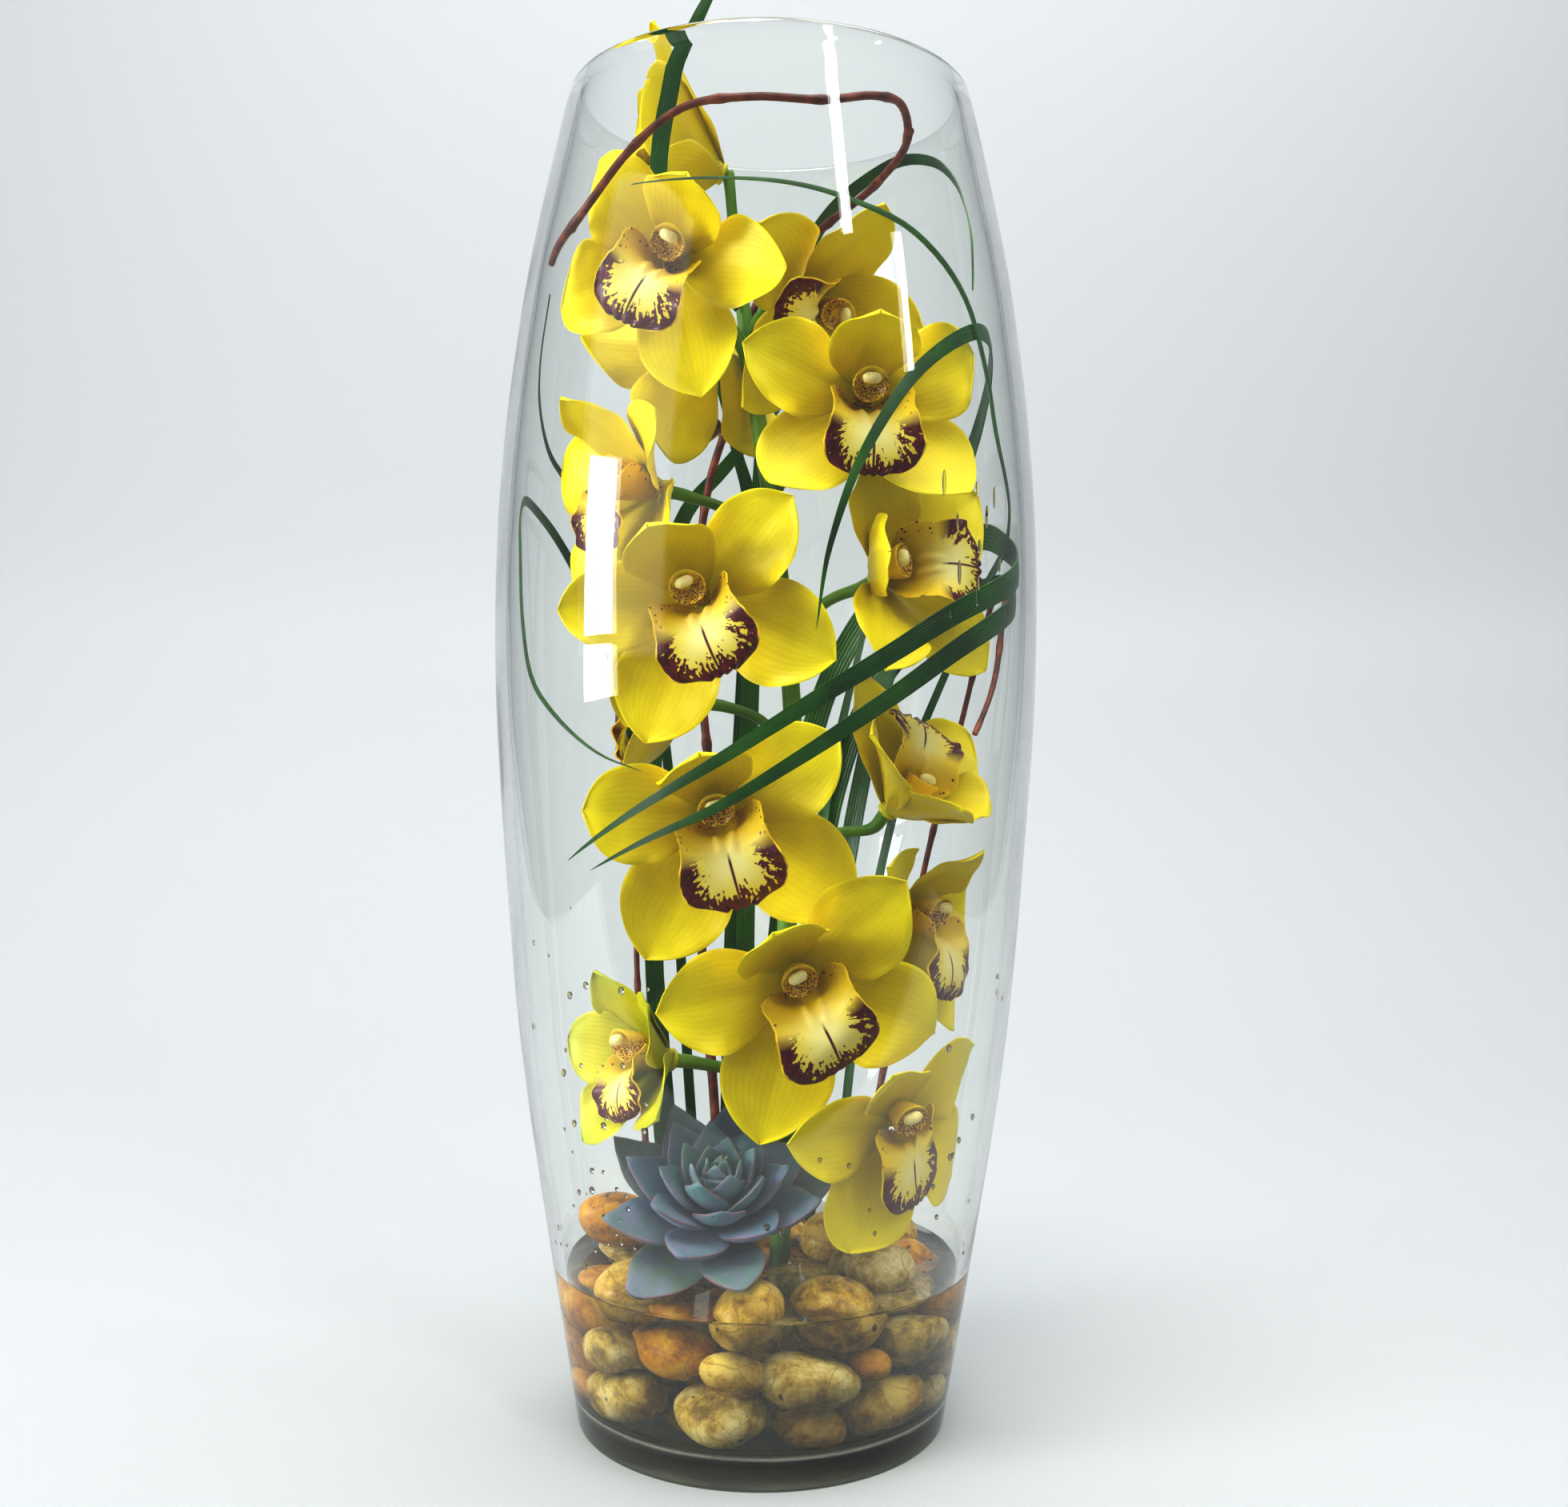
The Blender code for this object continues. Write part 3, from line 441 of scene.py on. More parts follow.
def lipPlace(detail=False, seed=0.0):
    # a trough under the column, then a lobe that curls down
    steps = flower["steps"]
    line = [Vector((0, -0.0036, 0.001))]
    slopes = []
    for i in range(steps + 1):
        slopes.append(math.radians(smoothAlong(flower["lipSlope"], i / steps)))
        ahead = Vector((0, -math.sin(slopes[-1]), math.cos(slopes[-1])))
        line.append(line[-1] + ahead * flower["lipLength"] / steps)
    spread = flower["ruffledLip"] if detail else flower["packedLip"]

    def place(u, v):
        i = min(int(u * steps), steps - 1)
        middle = line[i].lerp(line[i + 1], u * steps - i)
        slope = slopes[i]
        half = flower["lipWidth"] * smoothAlong(spread, u)
        curl = math.radians(smoothAlong(flower["lipCurl"], u))
        reach = half * (math.sin(curl * v) / curl)
        lift = half * (1 - math.cos(curl * v)) / curl
        if detail:
            # the ruffle dies out away from the margin
            near, around = math.exp(-lipEdge(u, v) / flower["ruffleReach"]), lipTurn(u, v)
            strong = 0.35 + 0.65 * min(max((u - 0.4) / 0.2, 0), 1)
            lift += flower["ruffle"] * near * math.sin(17 * around + seed) * strong
            lift += flower["fineRuffle"] * near * math.sin(31 * around + 2 * seed)
            ridge = math.exp(-((abs(v) - 0.13 - 0.1 * (0.5 - u)) / 0.06) ** 2)  # two calluses side by side
            lift += flower["callus"] * ridge * math.exp(-((u - 0.42) / 0.13) ** 4)
            reach *= 1 + 0.028 * math.sin(105 * u + seed) * abs(v) ** 8
        normal = Vector((0, math.cos(slope), math.sin(slope)))
        return middle + Vector((reach, 0, 0)) + normal * lift

    return place


def columnPlace(u, v):
    # arches over the lip and opens at its end into a hollow under the cap
    along = min(max((u - 0.05) / 0.80, 0), 1)
    wide = smoothAlong([(0, 0.0042), (0.35, 0.0038), (0.75, 0.0056), (1, 0.0068)], along)
    tall = smoothAlong([(0, 0.0036), (0.35, 0.0034), (0.75, 0.0050), (1, 0.0062)], along)
    arch = smoothAlong([(0, 0), (0.5, 0.0042), (1, 0.0030)], along)
    shrink, back = (0 if u == 0 else 1), 0
    if u > 0.85:
        shrink = smoothAlong([(0.85, 1), (0.92, 0.80), (1, 0)], u)
        back = smoothAlong([(0.85, 0), (0.90, 0.0008), (0.95, -0.0030), (1, -0.0050)], u)
    turn = math.pi * v
    ring = Vector((wide * math.sin(turn), -tall * math.cos(turn), 0)) * shrink
    # the end leans: its top reaches further out than its chin
    ring.z = 0.55 * ring.y * max(along - 0.55, 0) / 0.45
    return Vector((0, arch, flower["columnLength"] * along - 0.001 + back)) + ring


def capPlace(u, v):
    # the anther cap: a small cushion with a groove down its front
    turn, tilt = math.pi * v, math.pi * (u - 0.5)
    ring = math.cos(tilt) if 0 < u < 1 else 0
    groove = 1 - 0.20 * math.exp(-(math.sin(turn) / 0.25) ** 2) * ring
    x, y = 0.0036 * ring * math.sin(turn), -0.0024 * ring * math.cos(turn) * groove
    return Vector((x, y, 0.0024 * math.sin(tilt))) + Vector((0, 0.0048, flower["columnLength"] + 0.0012))


def receptaclePlace(u, v):
    # the tepals' common base, where the stalk ends
    height = smoothAlong([(0, -0.0030), (0.5, -0.0018), (1, 0.0026)], u)
    radius = smoothAlong([(0, 0.0026), (0.5, 0.0044), (1, 0.0020)], u) if 0 < u < 1 else 0
    return Vector((radius * math.sin(math.pi * v), radius * math.cos(math.pi * v), height))


def flowerFrame(base, turn, lift, roll):
    turn, lift = math.radians(turn), math.radians(lift)
    face = Vector((math.sin(turn) * math.cos(lift), -math.cos(turn) * math.cos(lift), math.sin(lift)))
    side = Vector((math.cos(turn), math.sin(turn), 0))
    axes = Matrix((side, face.cross(side), face)).transposed() @ Matrix.Rotation(-math.radians(roll), 3, "Z")
    return Matrix.Translation(base) @ axes.to_4x4()


def flowerPlaces(pose, detail=False, seed=0.0):
    # the place functions of a flower's five tepals and lip
    more = flower["closing"] * pose[5]
    wave = flower["wave"] if detail else 0
    places = []
    for k, angle in enumerate(flower["sepalAngles"]):
        isTop = angle == 0
        rise, tipRise = (own + (bend * max(1 - 2 * pose[5], 0.2) if isTop else 0) + more
                         for own, bend in zip(flower["sepalRise"], flower["hood"]))
        width = flower["tepalWidth"] * (flower["topNarrower"] if isTop else 1)
        places.append(tepalPlace(angle, flower["tepalLength"], width, rise, tipRise, flower["sepalCup"],
                                 flower["sepalStart"], wave=wave, seed=seed + k))
    rise, tipRise = (own + more for own in flower["petalRise"])
    for k, angle in enumerate(flower["petalAngles"]):
        places.append(tepalPlace(angle, flower["petalLength"], flower["petalWidth"], rise, tipRise,
                                 flower["petalCup"], flower["petalStart"], wave=wave, seed=seed + 3 + k))
    return places + [lipPlace(detail, seed)]


def eased(distance, limit, ease):
    # unchanged up to limit - ease, then ever more pressed, and never past the limit
    over = distance - (limit - ease)
    return distance if over <= 0 else limit - ease * math.exp(-over / ease)


def keptInVase(point, first):
    point.z = -eased(-point.z, -flower["lowest"], flower["lowestEase"])
    radius = math.hypot(point.x, point.y)
    limit = innerRadius(min(point.z, vase["height"])) - flower["toGlass"]
    if radius > 0:
        ratio = eased(radius, limit, flower["glassEase"]) / radius
        point.x *= ratio
        point.y *= ratio
    if first:
        point.y = -eased(-point.y, flower["firstFront"], flower["firstEase"])


def pressed(point, press):
    normal, level, ease = press
    distance = point.dot(normal) - level
    return point + normal * (eased(distance, -flower["parting"], ease) - distance)


def allPresses():
    # where flowers meet, each is pressed back from the plane that both cross least
    golden = math.pi * (3 - math.sqrt(5))
    directions = []
    for i in range(flower["directions"]):
        z = 1 - 2 * (i + 0.5) / flower["directions"]
        r = math.sqrt(1 - z * z)
        directions.append(Vector((r * math.cos(golden * i), r * math.sin(golden * i), z)))
    least, share = flower["partingEase"]
    coarse, presses = [], []
    for number, pose in enumerate(flowerPoses):
        matrix = flowerFrame(*pose[:4]) @ Matrix.Scale(pose[4], 4)
        places = flowerPlaces(pose)
        points = []
        for place in places[:5]:
            points += [matrix @ place(i / 3, j - 1) for i in range(4) for j in range(3)]
        points += [matrix @ places[5](i / 4, j / 2 - 1) for i in range(5) for j in range(5)]
        for point in points:
            keptInVase(point, number == 0)
        coarse.append(points)
        presses.append([])
    for i in range(len(coarse)):
        for j in range(i):
            best = None
            for normal in directions:
                top = max(point.dot(normal) for point in coarse[i])
                low = min(point.dot(normal) for point in coarse[j])
                if best is None or top - low < best[0]:
                    best = (top - low, normal, (top + low) / 2)
            crossing, normal, level = best
            if crossing < -2 * flower["parting"]:
                continue
            ease = least + abs(crossing) * share
            for k, press in ((i, (normal, level, ease)), (j, (-normal, -level, ease))):
                presses[k].append(press)
                coarse[k] = [pressed(point, press) for point in coarse[k]]
    return presses


flowerPresses = allPresses()
print("flowers parted")


def tepalMaterial(name, glow, claw, low, blade, tip, vein):
    # Cymbidium tepal: a waxy living sheet that lets light glow through, greener towards its claw
    material, shader, add = newMaterial(name, {
        "IOR": 1.38, "Subsurface Weight": 0.25, "Subsurface Scale": 0.0016, "Subsurface Radius": glow,
    })
    where = add("TexCoord")
    axes = add("SeparateXYZ", {0: where["UV"]})
    ground = add("ValToRGB", {"stops": [(0.00, claw), (0.22, low), (0.55, blade), (1.00, tip)], 0: axes[1]})
    # soft cloudy shade, patches about 14 mm across
    clouds = add("TexNoise", {"Scale": 1 / 0.014, "Detail": 3.0, "Roughness": 0.55,
                              "Vector": where["Object"]})
    cloudy = add("ValToRGB", {"stops": [(0.35, 0.80), (0.65, 1.0)], 0: clouds[0]})
    shaded = add("Mix", {"data_type": "RGBA", "blend_type": "MULTIPLY", 0: 0.35, 6: ground[0], 7: cloudy[0]})
    # veins about 2.2 mm apart over 36 mm, so 16 across; they wander a little
    veins = add("TexWave", {"bands_direction": "X", "Scale": 16 * math.tau / 20, "Distortion": 1.4,
                            "Detail": 1.0, "Detail Scale": 0.7, "Vector": where["UV"]})
    faint = add("Math", {"operation": "MULTIPLY", 0: veins[1], 1: 0.14})
    veined = add("Mix", {"data_type": "RGBA", "blend_type": "MULTIPLY", 0: faint[0], 6: shaded[2], 7: vein})
    # the skin's cells, drawn at 0.5 mm so that they show
    cells = add("TexNoise", {"Scale": 1 / 0.0005, "Detail": 2.0, "Vector": where["Object"]})
    height = add("Math", {"operation": "MULTIPLY_ADD", 0: cells[0], 1: 0.20, 2: veins[1]})
    bump = add("Bump", {"Strength": 0.08, "Distance": 0.0003, "Height": height[0]})
    rough = add("MapRange", {"From Min": 0.3, "From Max": 0.7, "To Min": 0.36, "To Max": 0.50,
                             "Value": clouds[0]})
    setNode(shader, {"Base Color": veined[2], "Roughness": rough[0], "Normal": bump[0]})
    return material


def lipMaterial():
    # Lip: the same wax, cream in the throat, with maroon blotches that break up inwards from the rim
    material, shader, add = newMaterial("blotchedLip", {
        "Roughness": 0.40, "IOR": 1.42, "Subsurface Weight": 0.12, "Subsurface Scale": 0.0014,
        "Subsurface Radius": (1.0, 0.7, 0.2),
    })
    where = add("TexCoord")
    # lipMap holds millimetres from the margin / 20, the way round / 2 pi, and how far along
    stored = add("Attribute", {"attribute_name": "lipMap"})
    margin, around, along = list(add("SeparateColor", {0: stored["Color"]}))[:3]
    ground = add("ValToRGB", {"stops": [
        (0.00, "#F2C80C"), (0.12, "#F4D428"), (0.34, "#F5DE52"), (0.70, "#F7E896"),
    ], 0: margin})
    # side lobes and throat are as yellow as the petals
    fore = add("MapRange", {"From Min": 0.36, "From Max": 0.60, "Value": along})
    sideMix = add("Mix", {"data_type": "RGBA", 0: fore[0], 6: "#F2C806", 7: ground[0]})
    # streaks run square to the margin: 1 mm wide and about 4 mm long
    streakPlace = add("CombineXYZ", {
        0: add("Math", {"operation": "MULTIPLY", 0: around, 1: 75.0})[0],
        1: add("Math", {"operation": "MULTIPLY", 0: margin, 1: 4.0})[0],
        2: add("VectorMath", {"operation": "LENGTH", 0: where["Object"]})[1],
    })
    streaks = add("TexNoise", {"Scale": 1.0, "Detail": 1.5, "Roughness": 0.6, "Vector": streakPlace[0]})
    spots = add("TexNoise", {"Scale": 1 / 0.0014, "Detail": 1.0, "Vector": where["Object"]})
    both = add("Math", {"operation": "MULTIPLY_ADD", 0: spots[0], 1: 0.60, 2: streaks[0]})
    # how high the noise must reach: little close to the rim, much further in
    wanted = add("MapRange", {"From Min": 0.10, "From Max": 0.62, "To Min": 0.52, "To Max": 1.12,
                              "Value": margin})
    over = add("Math", {"operation": "SUBTRACT", 0: both[0], 1: wanted[0]})
    blotch = add("MapRange", {"From Min": 0.0, "From Max": 0.04, "Value": over[0]})
    rim = add("MapRange", {"From Min": 0.018, "From Max": 0.034, "Value": margin})
    front = add("MapRange", {"From Min": 0.54, "From Max": 0.62, "Value": along})
    mask = add("Math", {"operation": "MULTIPLY", 0: blotch[0], 1: rim[0]})
    mask = add("Math", {"operation": "MULTIPLY", 0: mask[0], 1: front[0]})
    # a few small dots on the side lobes
    dots = add("TexVoronoi", {"Scale": 1 / 0.0024, "Vector": where["Object"]})
    small = add("MapRange", {"From Min": 0.24, "From Max": 0.17, "Value": dots["Distance"]})
    sides = add("MapRange", {"From Min": 0.26, "From Max": 0.20, "Value": margin})
    behind = add("MapRange", {"From Min": 0.62, "From Max": 0.50, "Value": along})
    dotMask = add("Math", {"operation": "MULTIPLY", 0: small[0], 1: sides[0]})
    dotMask = add("Math", {"operation": "MULTIPLY", 0: dotMask[0], 1: behind[0]})
    # and one broken line down the middle of the front lobe
    flat = add("SeparateXYZ", {0: where["UV"]})
    off = add("Math", {"operation": "SUBTRACT", 0: flat[0], 1: 0.5})
    off = add("Math", {"operation": "ABSOLUTE", 0: off[0]})
    line = add("MapRange", {"From Min": 0.016, "From Max": 0.009, "Value": off[0]})
    line = add("Math", {"operation": "MULTIPLY", 0: line[0], 1: front[0]})
    mask = add("Math", {"operation": "MAXIMUM", 0: mask[0], 1: dotMask[0]})
    mask = add("Math", {"operation": "MAXIMUM", 0: mask[0], 1: line[0]})
    maroon = add("ValToRGB", {"stops": [(0.35, "#3C050C"), (0.65, "#6A1118")], 0: spots[0]})
    colour = add("Mix", {"data_type": "RGBA", 0: mask[0], 6: sideMix[2], 7: maroon[0]})
    cells = add("TexNoise", {"Scale": 1 / 0.0006, "Detail": 2.0, "Vector": where["Object"]})
    bump = add("Bump", {"Strength": 0.2, "Distance": 0.0003, "Height": cells[0]})
    setNode(shader, {"Base Color": colour[2], "Normal": bump[0]})
    return material


def columnMaterial():
    # Column: firm yellow tissue, speckled brown beneath and in its hollow end
    material, shader, add = newMaterial("speckledColumn", {"Roughness": 0.36, "IOR": 1.42})
    where = add("TexCoord")
    axes = add("SeparateXYZ", {0: where["UV"]})
    # UV x 0.5 is the underside and UV y past 0.85 the hollow end; speckles about 0.5 mm
    under = add("Math", {"operation": "SUBTRACT", 0: axes[0], 1: 0.5})
    under = add("Math", {"operation": "ABSOLUTE", 0: under[0]})
    side = add("MapRange", {"From Min": 0.34, "From Max": 0.22, "Value": under[0]})
    ending = add("MapRange", {"From Min": 0.86, "From Max": 0.90, "Value": axes[1]})
    lower = add("MapRange", {"From Min": 0.40, "From Max": 0.30, "Value": under[0]})
    ending = add("Math", {"operation": "MULTIPLY", 0: ending[0], 1: lower[0]})
    side = add("Math", {"operation": "MAXIMUM", 0: side[0], 1: ending[0]})
    specks = add("TexNoise", {"Scale": 1 / 0.0007, "Detail": 2.0, "Vector": where["Object"]})
    spots = add("MapRange", {"From Min": 0.44, "From Max": 0.54, "Value": specks[0]})
    mask = add("Math", {"operation": "MULTIPLY", 0: spots[0], 1: side[0]})
    ground = add("ValToRGB", {"stops": [(0.0, "#D8CC20"), (0.5, "#F6CE0C")], 0: axes[1]})
    colour = add("Mix", {"data_type": "RGBA", 0: mask[0], 6: ground[0], 7: "#8E4A2C"})
    bump = add("Bump", {"Strength": 0.15, "Distance": 0.0003, "Height": specks[0]})
    setNode(shader, {"Base Color": colour[2], "Normal": bump[0]})
    return material


def capMaterial():
    # Anther cap: paler and smoother than the column
    material, shader, add = newMaterial("creamAntherCap", {
        "Roughness": 0.32, "IOR": 1.42, "Subsurface Weight": 0.2, "Subsurface Scale": 0.001,
    })
    soft = add("TexNoise", {"Scale": 1 / 0.002, "Detail": 2.0, "Vector": add("TexCoord")["Object"]})
    colour = add("ValToRGB", {"stops": [(0.3, "#EFD97C"), (0.7, "#F8EDB4")], 0: soft[0]})
    bump = add("Bump", {"Strength": 0.1, "Distance": 0.0003, "Height": soft[0]})
    setNode(shader, {"Base Color": colour[0], "Normal": bump[0]})
    return material


tepalSkin = tepalMaterial("waxyYellowTepal", (1.0, 0.92, 0.04),
                          "#DDD00E", "#F8DA00", "#FFE400", "#FFEA00", "#F0C800")
greenTepalSkin = tepalMaterial("waxyGreenTepal", (0.95, 1.0, 0.04),
                               "#9CA812", "#C2C40C", "#E2D604", "#B9BE14", "#B4B408")
lipSkin = lipMaterial()
middleParts = [  # name, faces along and across, place, material, rounds of smoothing
    ("column", 22, 18, columnPlace, columnMaterial(), 1),
    ("cap", 10, 14, capPlace, capMaterial(), 1),
    ("receptacle", 8, 12, receptaclePlace, greenTepalSkin, 0),
]


def makeFlower(number, pose):
    bare = flowerFrame(*pose[:4])
    sized = bare @ Matrix.Scale(pose[4], 4)

    def toVase(point):
        point = sized @ point
        keptInVase(point, number == 0)
        for press in flowerPresses[number]:
            point = pressed(point, press)
        return point

    places = flowerPlaces(pose, True, 1.7 * number)
    pieces = []
    for place in places[:5]:
        tepal = gridPiece("tepal", 14, 10, lambda u, v: toVase(place(u, v)))
        thicken(tepal, flower["sheet"])
        soften(tepal)
        tepal.data.materials.append(greenTepalSkin if number == greenFlower else tepalSkin)
        pieces.append(tepal)
    lip = gridPiece("lip", 30, 26, lambda u, v: Vector((u, v, 0)))
    stored = lip.data.attributes.new("lipMap", "FLOAT_COLOR", "POINT")
    for vertex, value in zip(lip.data.vertices, stored.data):
        u, v = vertex.co.x, vertex.co.y
        value.color = (lipEdge(u, v) * 1000 / 20, lipTurn(u, v) / math.tau + 0.5, u, 1)
        vertex.co = toVase(places[5](u, v))
    thicken(lip, flower["sheet"])
    soften(lip)
    lip.data.materials.append(lipSkin)
    pieces.append(lip)
    for name, along, across, place, skin, rounds in middleParts:
        piece = gridPiece(name, along, across, lambda u, v: bare @ place(u, v), closed=True)
        if rounds:
            soften(piece, rounds)
        piece.data.materials.append(skin)
        pieces.append(piece)
    finish(joined(f"bloom{number + 1:02d}", pieces), f"bloom_{number + 1:02d}")


for number, pose in enumerate(flowerPoses):
    makeFlower(number, pose)
print("flowers made")


# Flower stem with a stalk to each flower

stem = {
    "points": [(0.006, 0.014, 0.016, 0.0040), (0.008, 0.013, 0.100, 0.0040), (0.009, 0.012, 0.195, 0.0038),
               (0.0105, 0.012, 0.265, 0.0036), (0.002, 0.012, 0.345, 0.0033), (-0.005, 0.013, 0.390, 0.0031),
               (-0.010, 0.014, 0.425, 0.0029), (-0.015, 0.015, 0.452, 0.0025)],
    "rings": 90, "sides": 16,
    "stalk": 0.0022, "stalkRings": 22, "stalkSides": 12,
    "stalkSwell": [(0, 1.25), (0.12, 0.98), (0.5, 0.95), (0.75, 1.12), (1, 1.16)],
    "ribs": 0.05,
    "drop": 0.55,  # how far below its flower a stalk leaves the stem, in stalk lengths
    "bract": 0.011,
}


def tubePiece(name, line, sides=12, ribs=0.0):
    # a closed tube along (point, radius) pairs, turned as little as can be on its way
    centres = [Vector(point) for point, radius in line]
    radii = [radius for point, radius in line]
    last = len(line) - 1
    ways = [(centres[min(i + 1, last)] - centres[max(i - 1, 0)]).normalized() for i in range(last + 1)]
    side = ways[0].orthogonal().normalized()
    sidesAt = []
    for way in ways:
        side = (side - way * side.dot(way)).normalized()
        sidesAt.append(side.copy())

    def place(u, v):
        i = min(max(round(u * (last + 2)) - 1, 0), last)
        turn = math.pi * v
        radius = 0 if u in (0, 1) else radii[i] * (1 + ribs * math.cos(6 * turn))
        side, above = sidesAt[i], ways[i].cross(sidesAt[i])
        return centres[i] + (side * math.cos(turn) + above * math.sin(turn)) * radius

    return gridPiece(name, last + 2, sides, place, closed=True)


def alongStem(z, column):
    return smoothAlong([(point[2], point[column]) for point in stem["points"]], z)


def stemAt(z):
    return Vector((alongStem(z, 0), alongStem(z, 1), z))


def curvePoints(keys, count):
    # count points on a smooth curve through the keys
    result = []
    for i in range(count):
        t = i / (count - 1) * (len(keys) - 1)
        axes = [[(k, key[axis]) for k, key in enumerate(keys)] for axis in range(3)]
        result.append(Vector([smoothAlong(axis, t) for axis in axes]))
    return result


def makeStem():
    low, high = stem["points"][0][2], stem["points"][-1][2]
    levels = [low + (high - low) * i / (stem["rings"] - 1) for i in range(stem["rings"])]
    pieces = [tubePiece("stem", [(stemAt(z), alongStem(z, 3)) for z in levels], stem["sides"])]
    for base, turn, lift, roll in (pose[:4] for pose in flowerPoses):
        face = flowerFrame(base, turn, lift, roll).to_3x3() @ Vector((0, 0, 1))
        end = Vector(base) - face * 0.0033
        reach = (end - stemAt(end.z)).length
        start = stemAt(max(min(end.z - stem["drop"] * reach, high - 0.012), low + 0.02))
        near = end - face * min(0.4 * reach, 0.010)
        middle = start.lerp(near, 0.5) + Vector((0, 0, 0.12 * reach))
        route = curvePoints([start, middle, near, end], stem["stalkRings"])
        stalk = [(point, stem["stalk"] * smoothAlong(stem["stalkSwell"], i / (stem["stalkRings"] - 1)))
                 for i, point in enumerate(route)]
        pieces.append(tubePiece("stalk", stalk, stem["stalkSides"], stem["ribs"]))
        # a dry bract hugs the joint
        tip = start + (route[2] - route[0]).normalized() * stem["bract"]
        bract = [(start.lerp(tip, i / 8), stem["stalk"] * (1.42 - 0.5 * (i / 8) ** 2)) for i in range(9)]
        pieces.append(tubePiece("bract", bract, 10))
    return joined("flowerStem", pieces)


# Cymbidium stem: smooth green skin with fine lengthwise lines and a waxy gloss
stemSkin, shader, add = newMaterial("smoothGreenStem", {"IOR": 1.42})
where = add("TexCoord")
patches = add("TexNoise", {"Scale": 1 / 0.022, "Detail": 4.0, "Vector": where["Object"]})
colour = add("ValToRGB", {"stops": [
    (0.25, "#3E6A18"), (0.5, "#5B8A22"), (0.72, "#7FA636"), (0.9, "#8C9A46"),
], 0: patches[0]})
lines = add("TexWave", {"bands_direction": "X", "Scale": math.tau, "Distortion": 0.6, "Vector": where["UV"]})
bump = add("Bump", {"Strength": 0.15, "Distance": 0.0003, "Height": lines[1]})
rough = add("MapRange", {"To Min": 0.32, "To Max": 0.52, "Value": patches[0]})
setNode(shader, {"Base Color": colour[0], "Normal": bump[0], "Roughness": rough[0]})
finish(makeStem(), "orchid_stem", stemSkin)
print("stem made")


# Lily grass and willow: routes are turn from the front, height and distance from the glass

def wallPoint(turn, height, inset):
    angle = math.radians(turn)
    radius = innerRadius(min(height / 1000, vase["height"])) - inset / 1000
    return Vector((radius * math.sin(angle), -radius * math.cos(angle), height / 1000))


def wallRoute(points, step):
    route = []
    keys = [[(i, point[k]) for i, point in enumerate(points)] for k in range(3)]
    for i in range(len(points) - 1):
        count = max(2, math.ceil((wallPoint(*points[i + 1]) - wallPoint(*points[i])).length / step))
        for j in range(count):
            route.append(wallPoint(*(smoothAlong(key, i + j / count) for key in keys)))
    route.append(wallPoint(*points[-1]))
    return route


grass = {
    "thickness": 0.00055,
    "fold": 0.00035,
    "step": 0.0055,
    "blades": [
        (0.0105, [(182, 20, 2.3), (178, 130, 2.3), (169, 249, 2.3), (156, 304, 2.3), (136, 334, 2.3),
                  (112, 340, 2.3), (92, 331, 2.3), (70, 318, 2.3), (43, 302, 2.3), (24, 285, 2.3),
                  (7, 268, 2.3), (-9, 251, 2.3), (-28, 233, 2.3), (-46, 216, 2.3)]),
        (0.0100, [(174, 20, 3.5), (169, 130, 3.5), (161, 232, 3.5), (147, 285, 3.5), (125, 312, 3.5),
                  (102, 318, 3.5), (82, 312, 3.5), (62, 302, 3.5), (43, 289, 3.5), (24, 270, 3.5),
                  (7, 252, 3.5), (-9, 236, 3.5), (-24, 225, 3.5), (-40, 213, 3.5)]),
        (0.0085, [(164, 20, 6.0), (160, 150, 6.0), (148, 270, 6.0), (131, 330, 6.0), (115, 365, 6.0),
                  (98, 388, 6.0), (79, 402, 6.0), (58, 402, 5.9), (36, 384, 5.9), (21, 354, 5.9),
                  (13, 322, 5.9), (10, 293, 5.9)]),
        (0.0080, [(188, 20, 7.2), (186, 150, 7.2), (184, 300, 7.2), (180, 400, 7.2), (174, 440, 8),
                  (165, 468, 8.5), (148, 484, 11), (122, 489, 13), (100, 482, 10), (84, 467, 7),
                  (74, 449, 6.4), (66, 432, 6.4), (61, 418, 6.4)]),
        (0.0040, [(155, 20, 4.7), (150, 150, 4.7), (138, 245, 4.7), (112, 312, 4.7), (82, 338, 4.7),
                  (65, 362, 4.7), (60, 388, 4.7), (53, 412, 4.7), (37, 430, 4.7), (19, 438, 4.7),
                  (5, 442, 4.7), (-12, 444, 4.7), (-36, 446, 4.7)]),
        (0.0066, [(228, 424, 71.6), (270, 436, 66), (286, 450, 48), (285, 466, 36), (284, 502, 33),
                  (286, 526, 41.7), (286, 542, 49), (290, 567, 57.4)]),
        (0.0045, [(203, 20, 4.7), (205, 150, 4.7), (209, 260, 4.7), (221, 325, 4.7), (240, 355, 4.7),
                  (258, 371, 4.7), (272, 387, 4.7), (279, 405, 4.7), (281, 422, 4.7)]),
        (0.0045, [(210, 20, 3.5), (212, 150, 3.5), (217, 245, 3.5), (230, 308, 3.5), (250, 340, 3.5),
                  (274, 347, 3.5), (289, 330, 3.5), (294, 302, 3.5), (300, 280, 3.5), (310, 266, 3.5),
                  (323, 253, 3.5), (334, 247, 3.5)]),
        (0.0090, [(192, 20, 2.3), (188, 200, 2.3), (184, 340, 2.3), (189, 385, 2.3), (197, 422, 2.3),
                  (204, 450, 2.3)]),
        (0.0090, [(216, 20, 5.9), (214, 200, 5.9), (211, 300, 5.9), (205, 350, 5.9), (192, 376, 5.9),
                  (176, 404, 5.9), (163, 432, 5.9), (156, 455, 5.9)]),
        (0.0050, [(172, 20, 5.9), (168, 130, 5.9), (163, 225, 5.9), (158, 268, 5.9), (151, 312, 5.9),
                  (144, 350, 5.9)]),
    ],
}


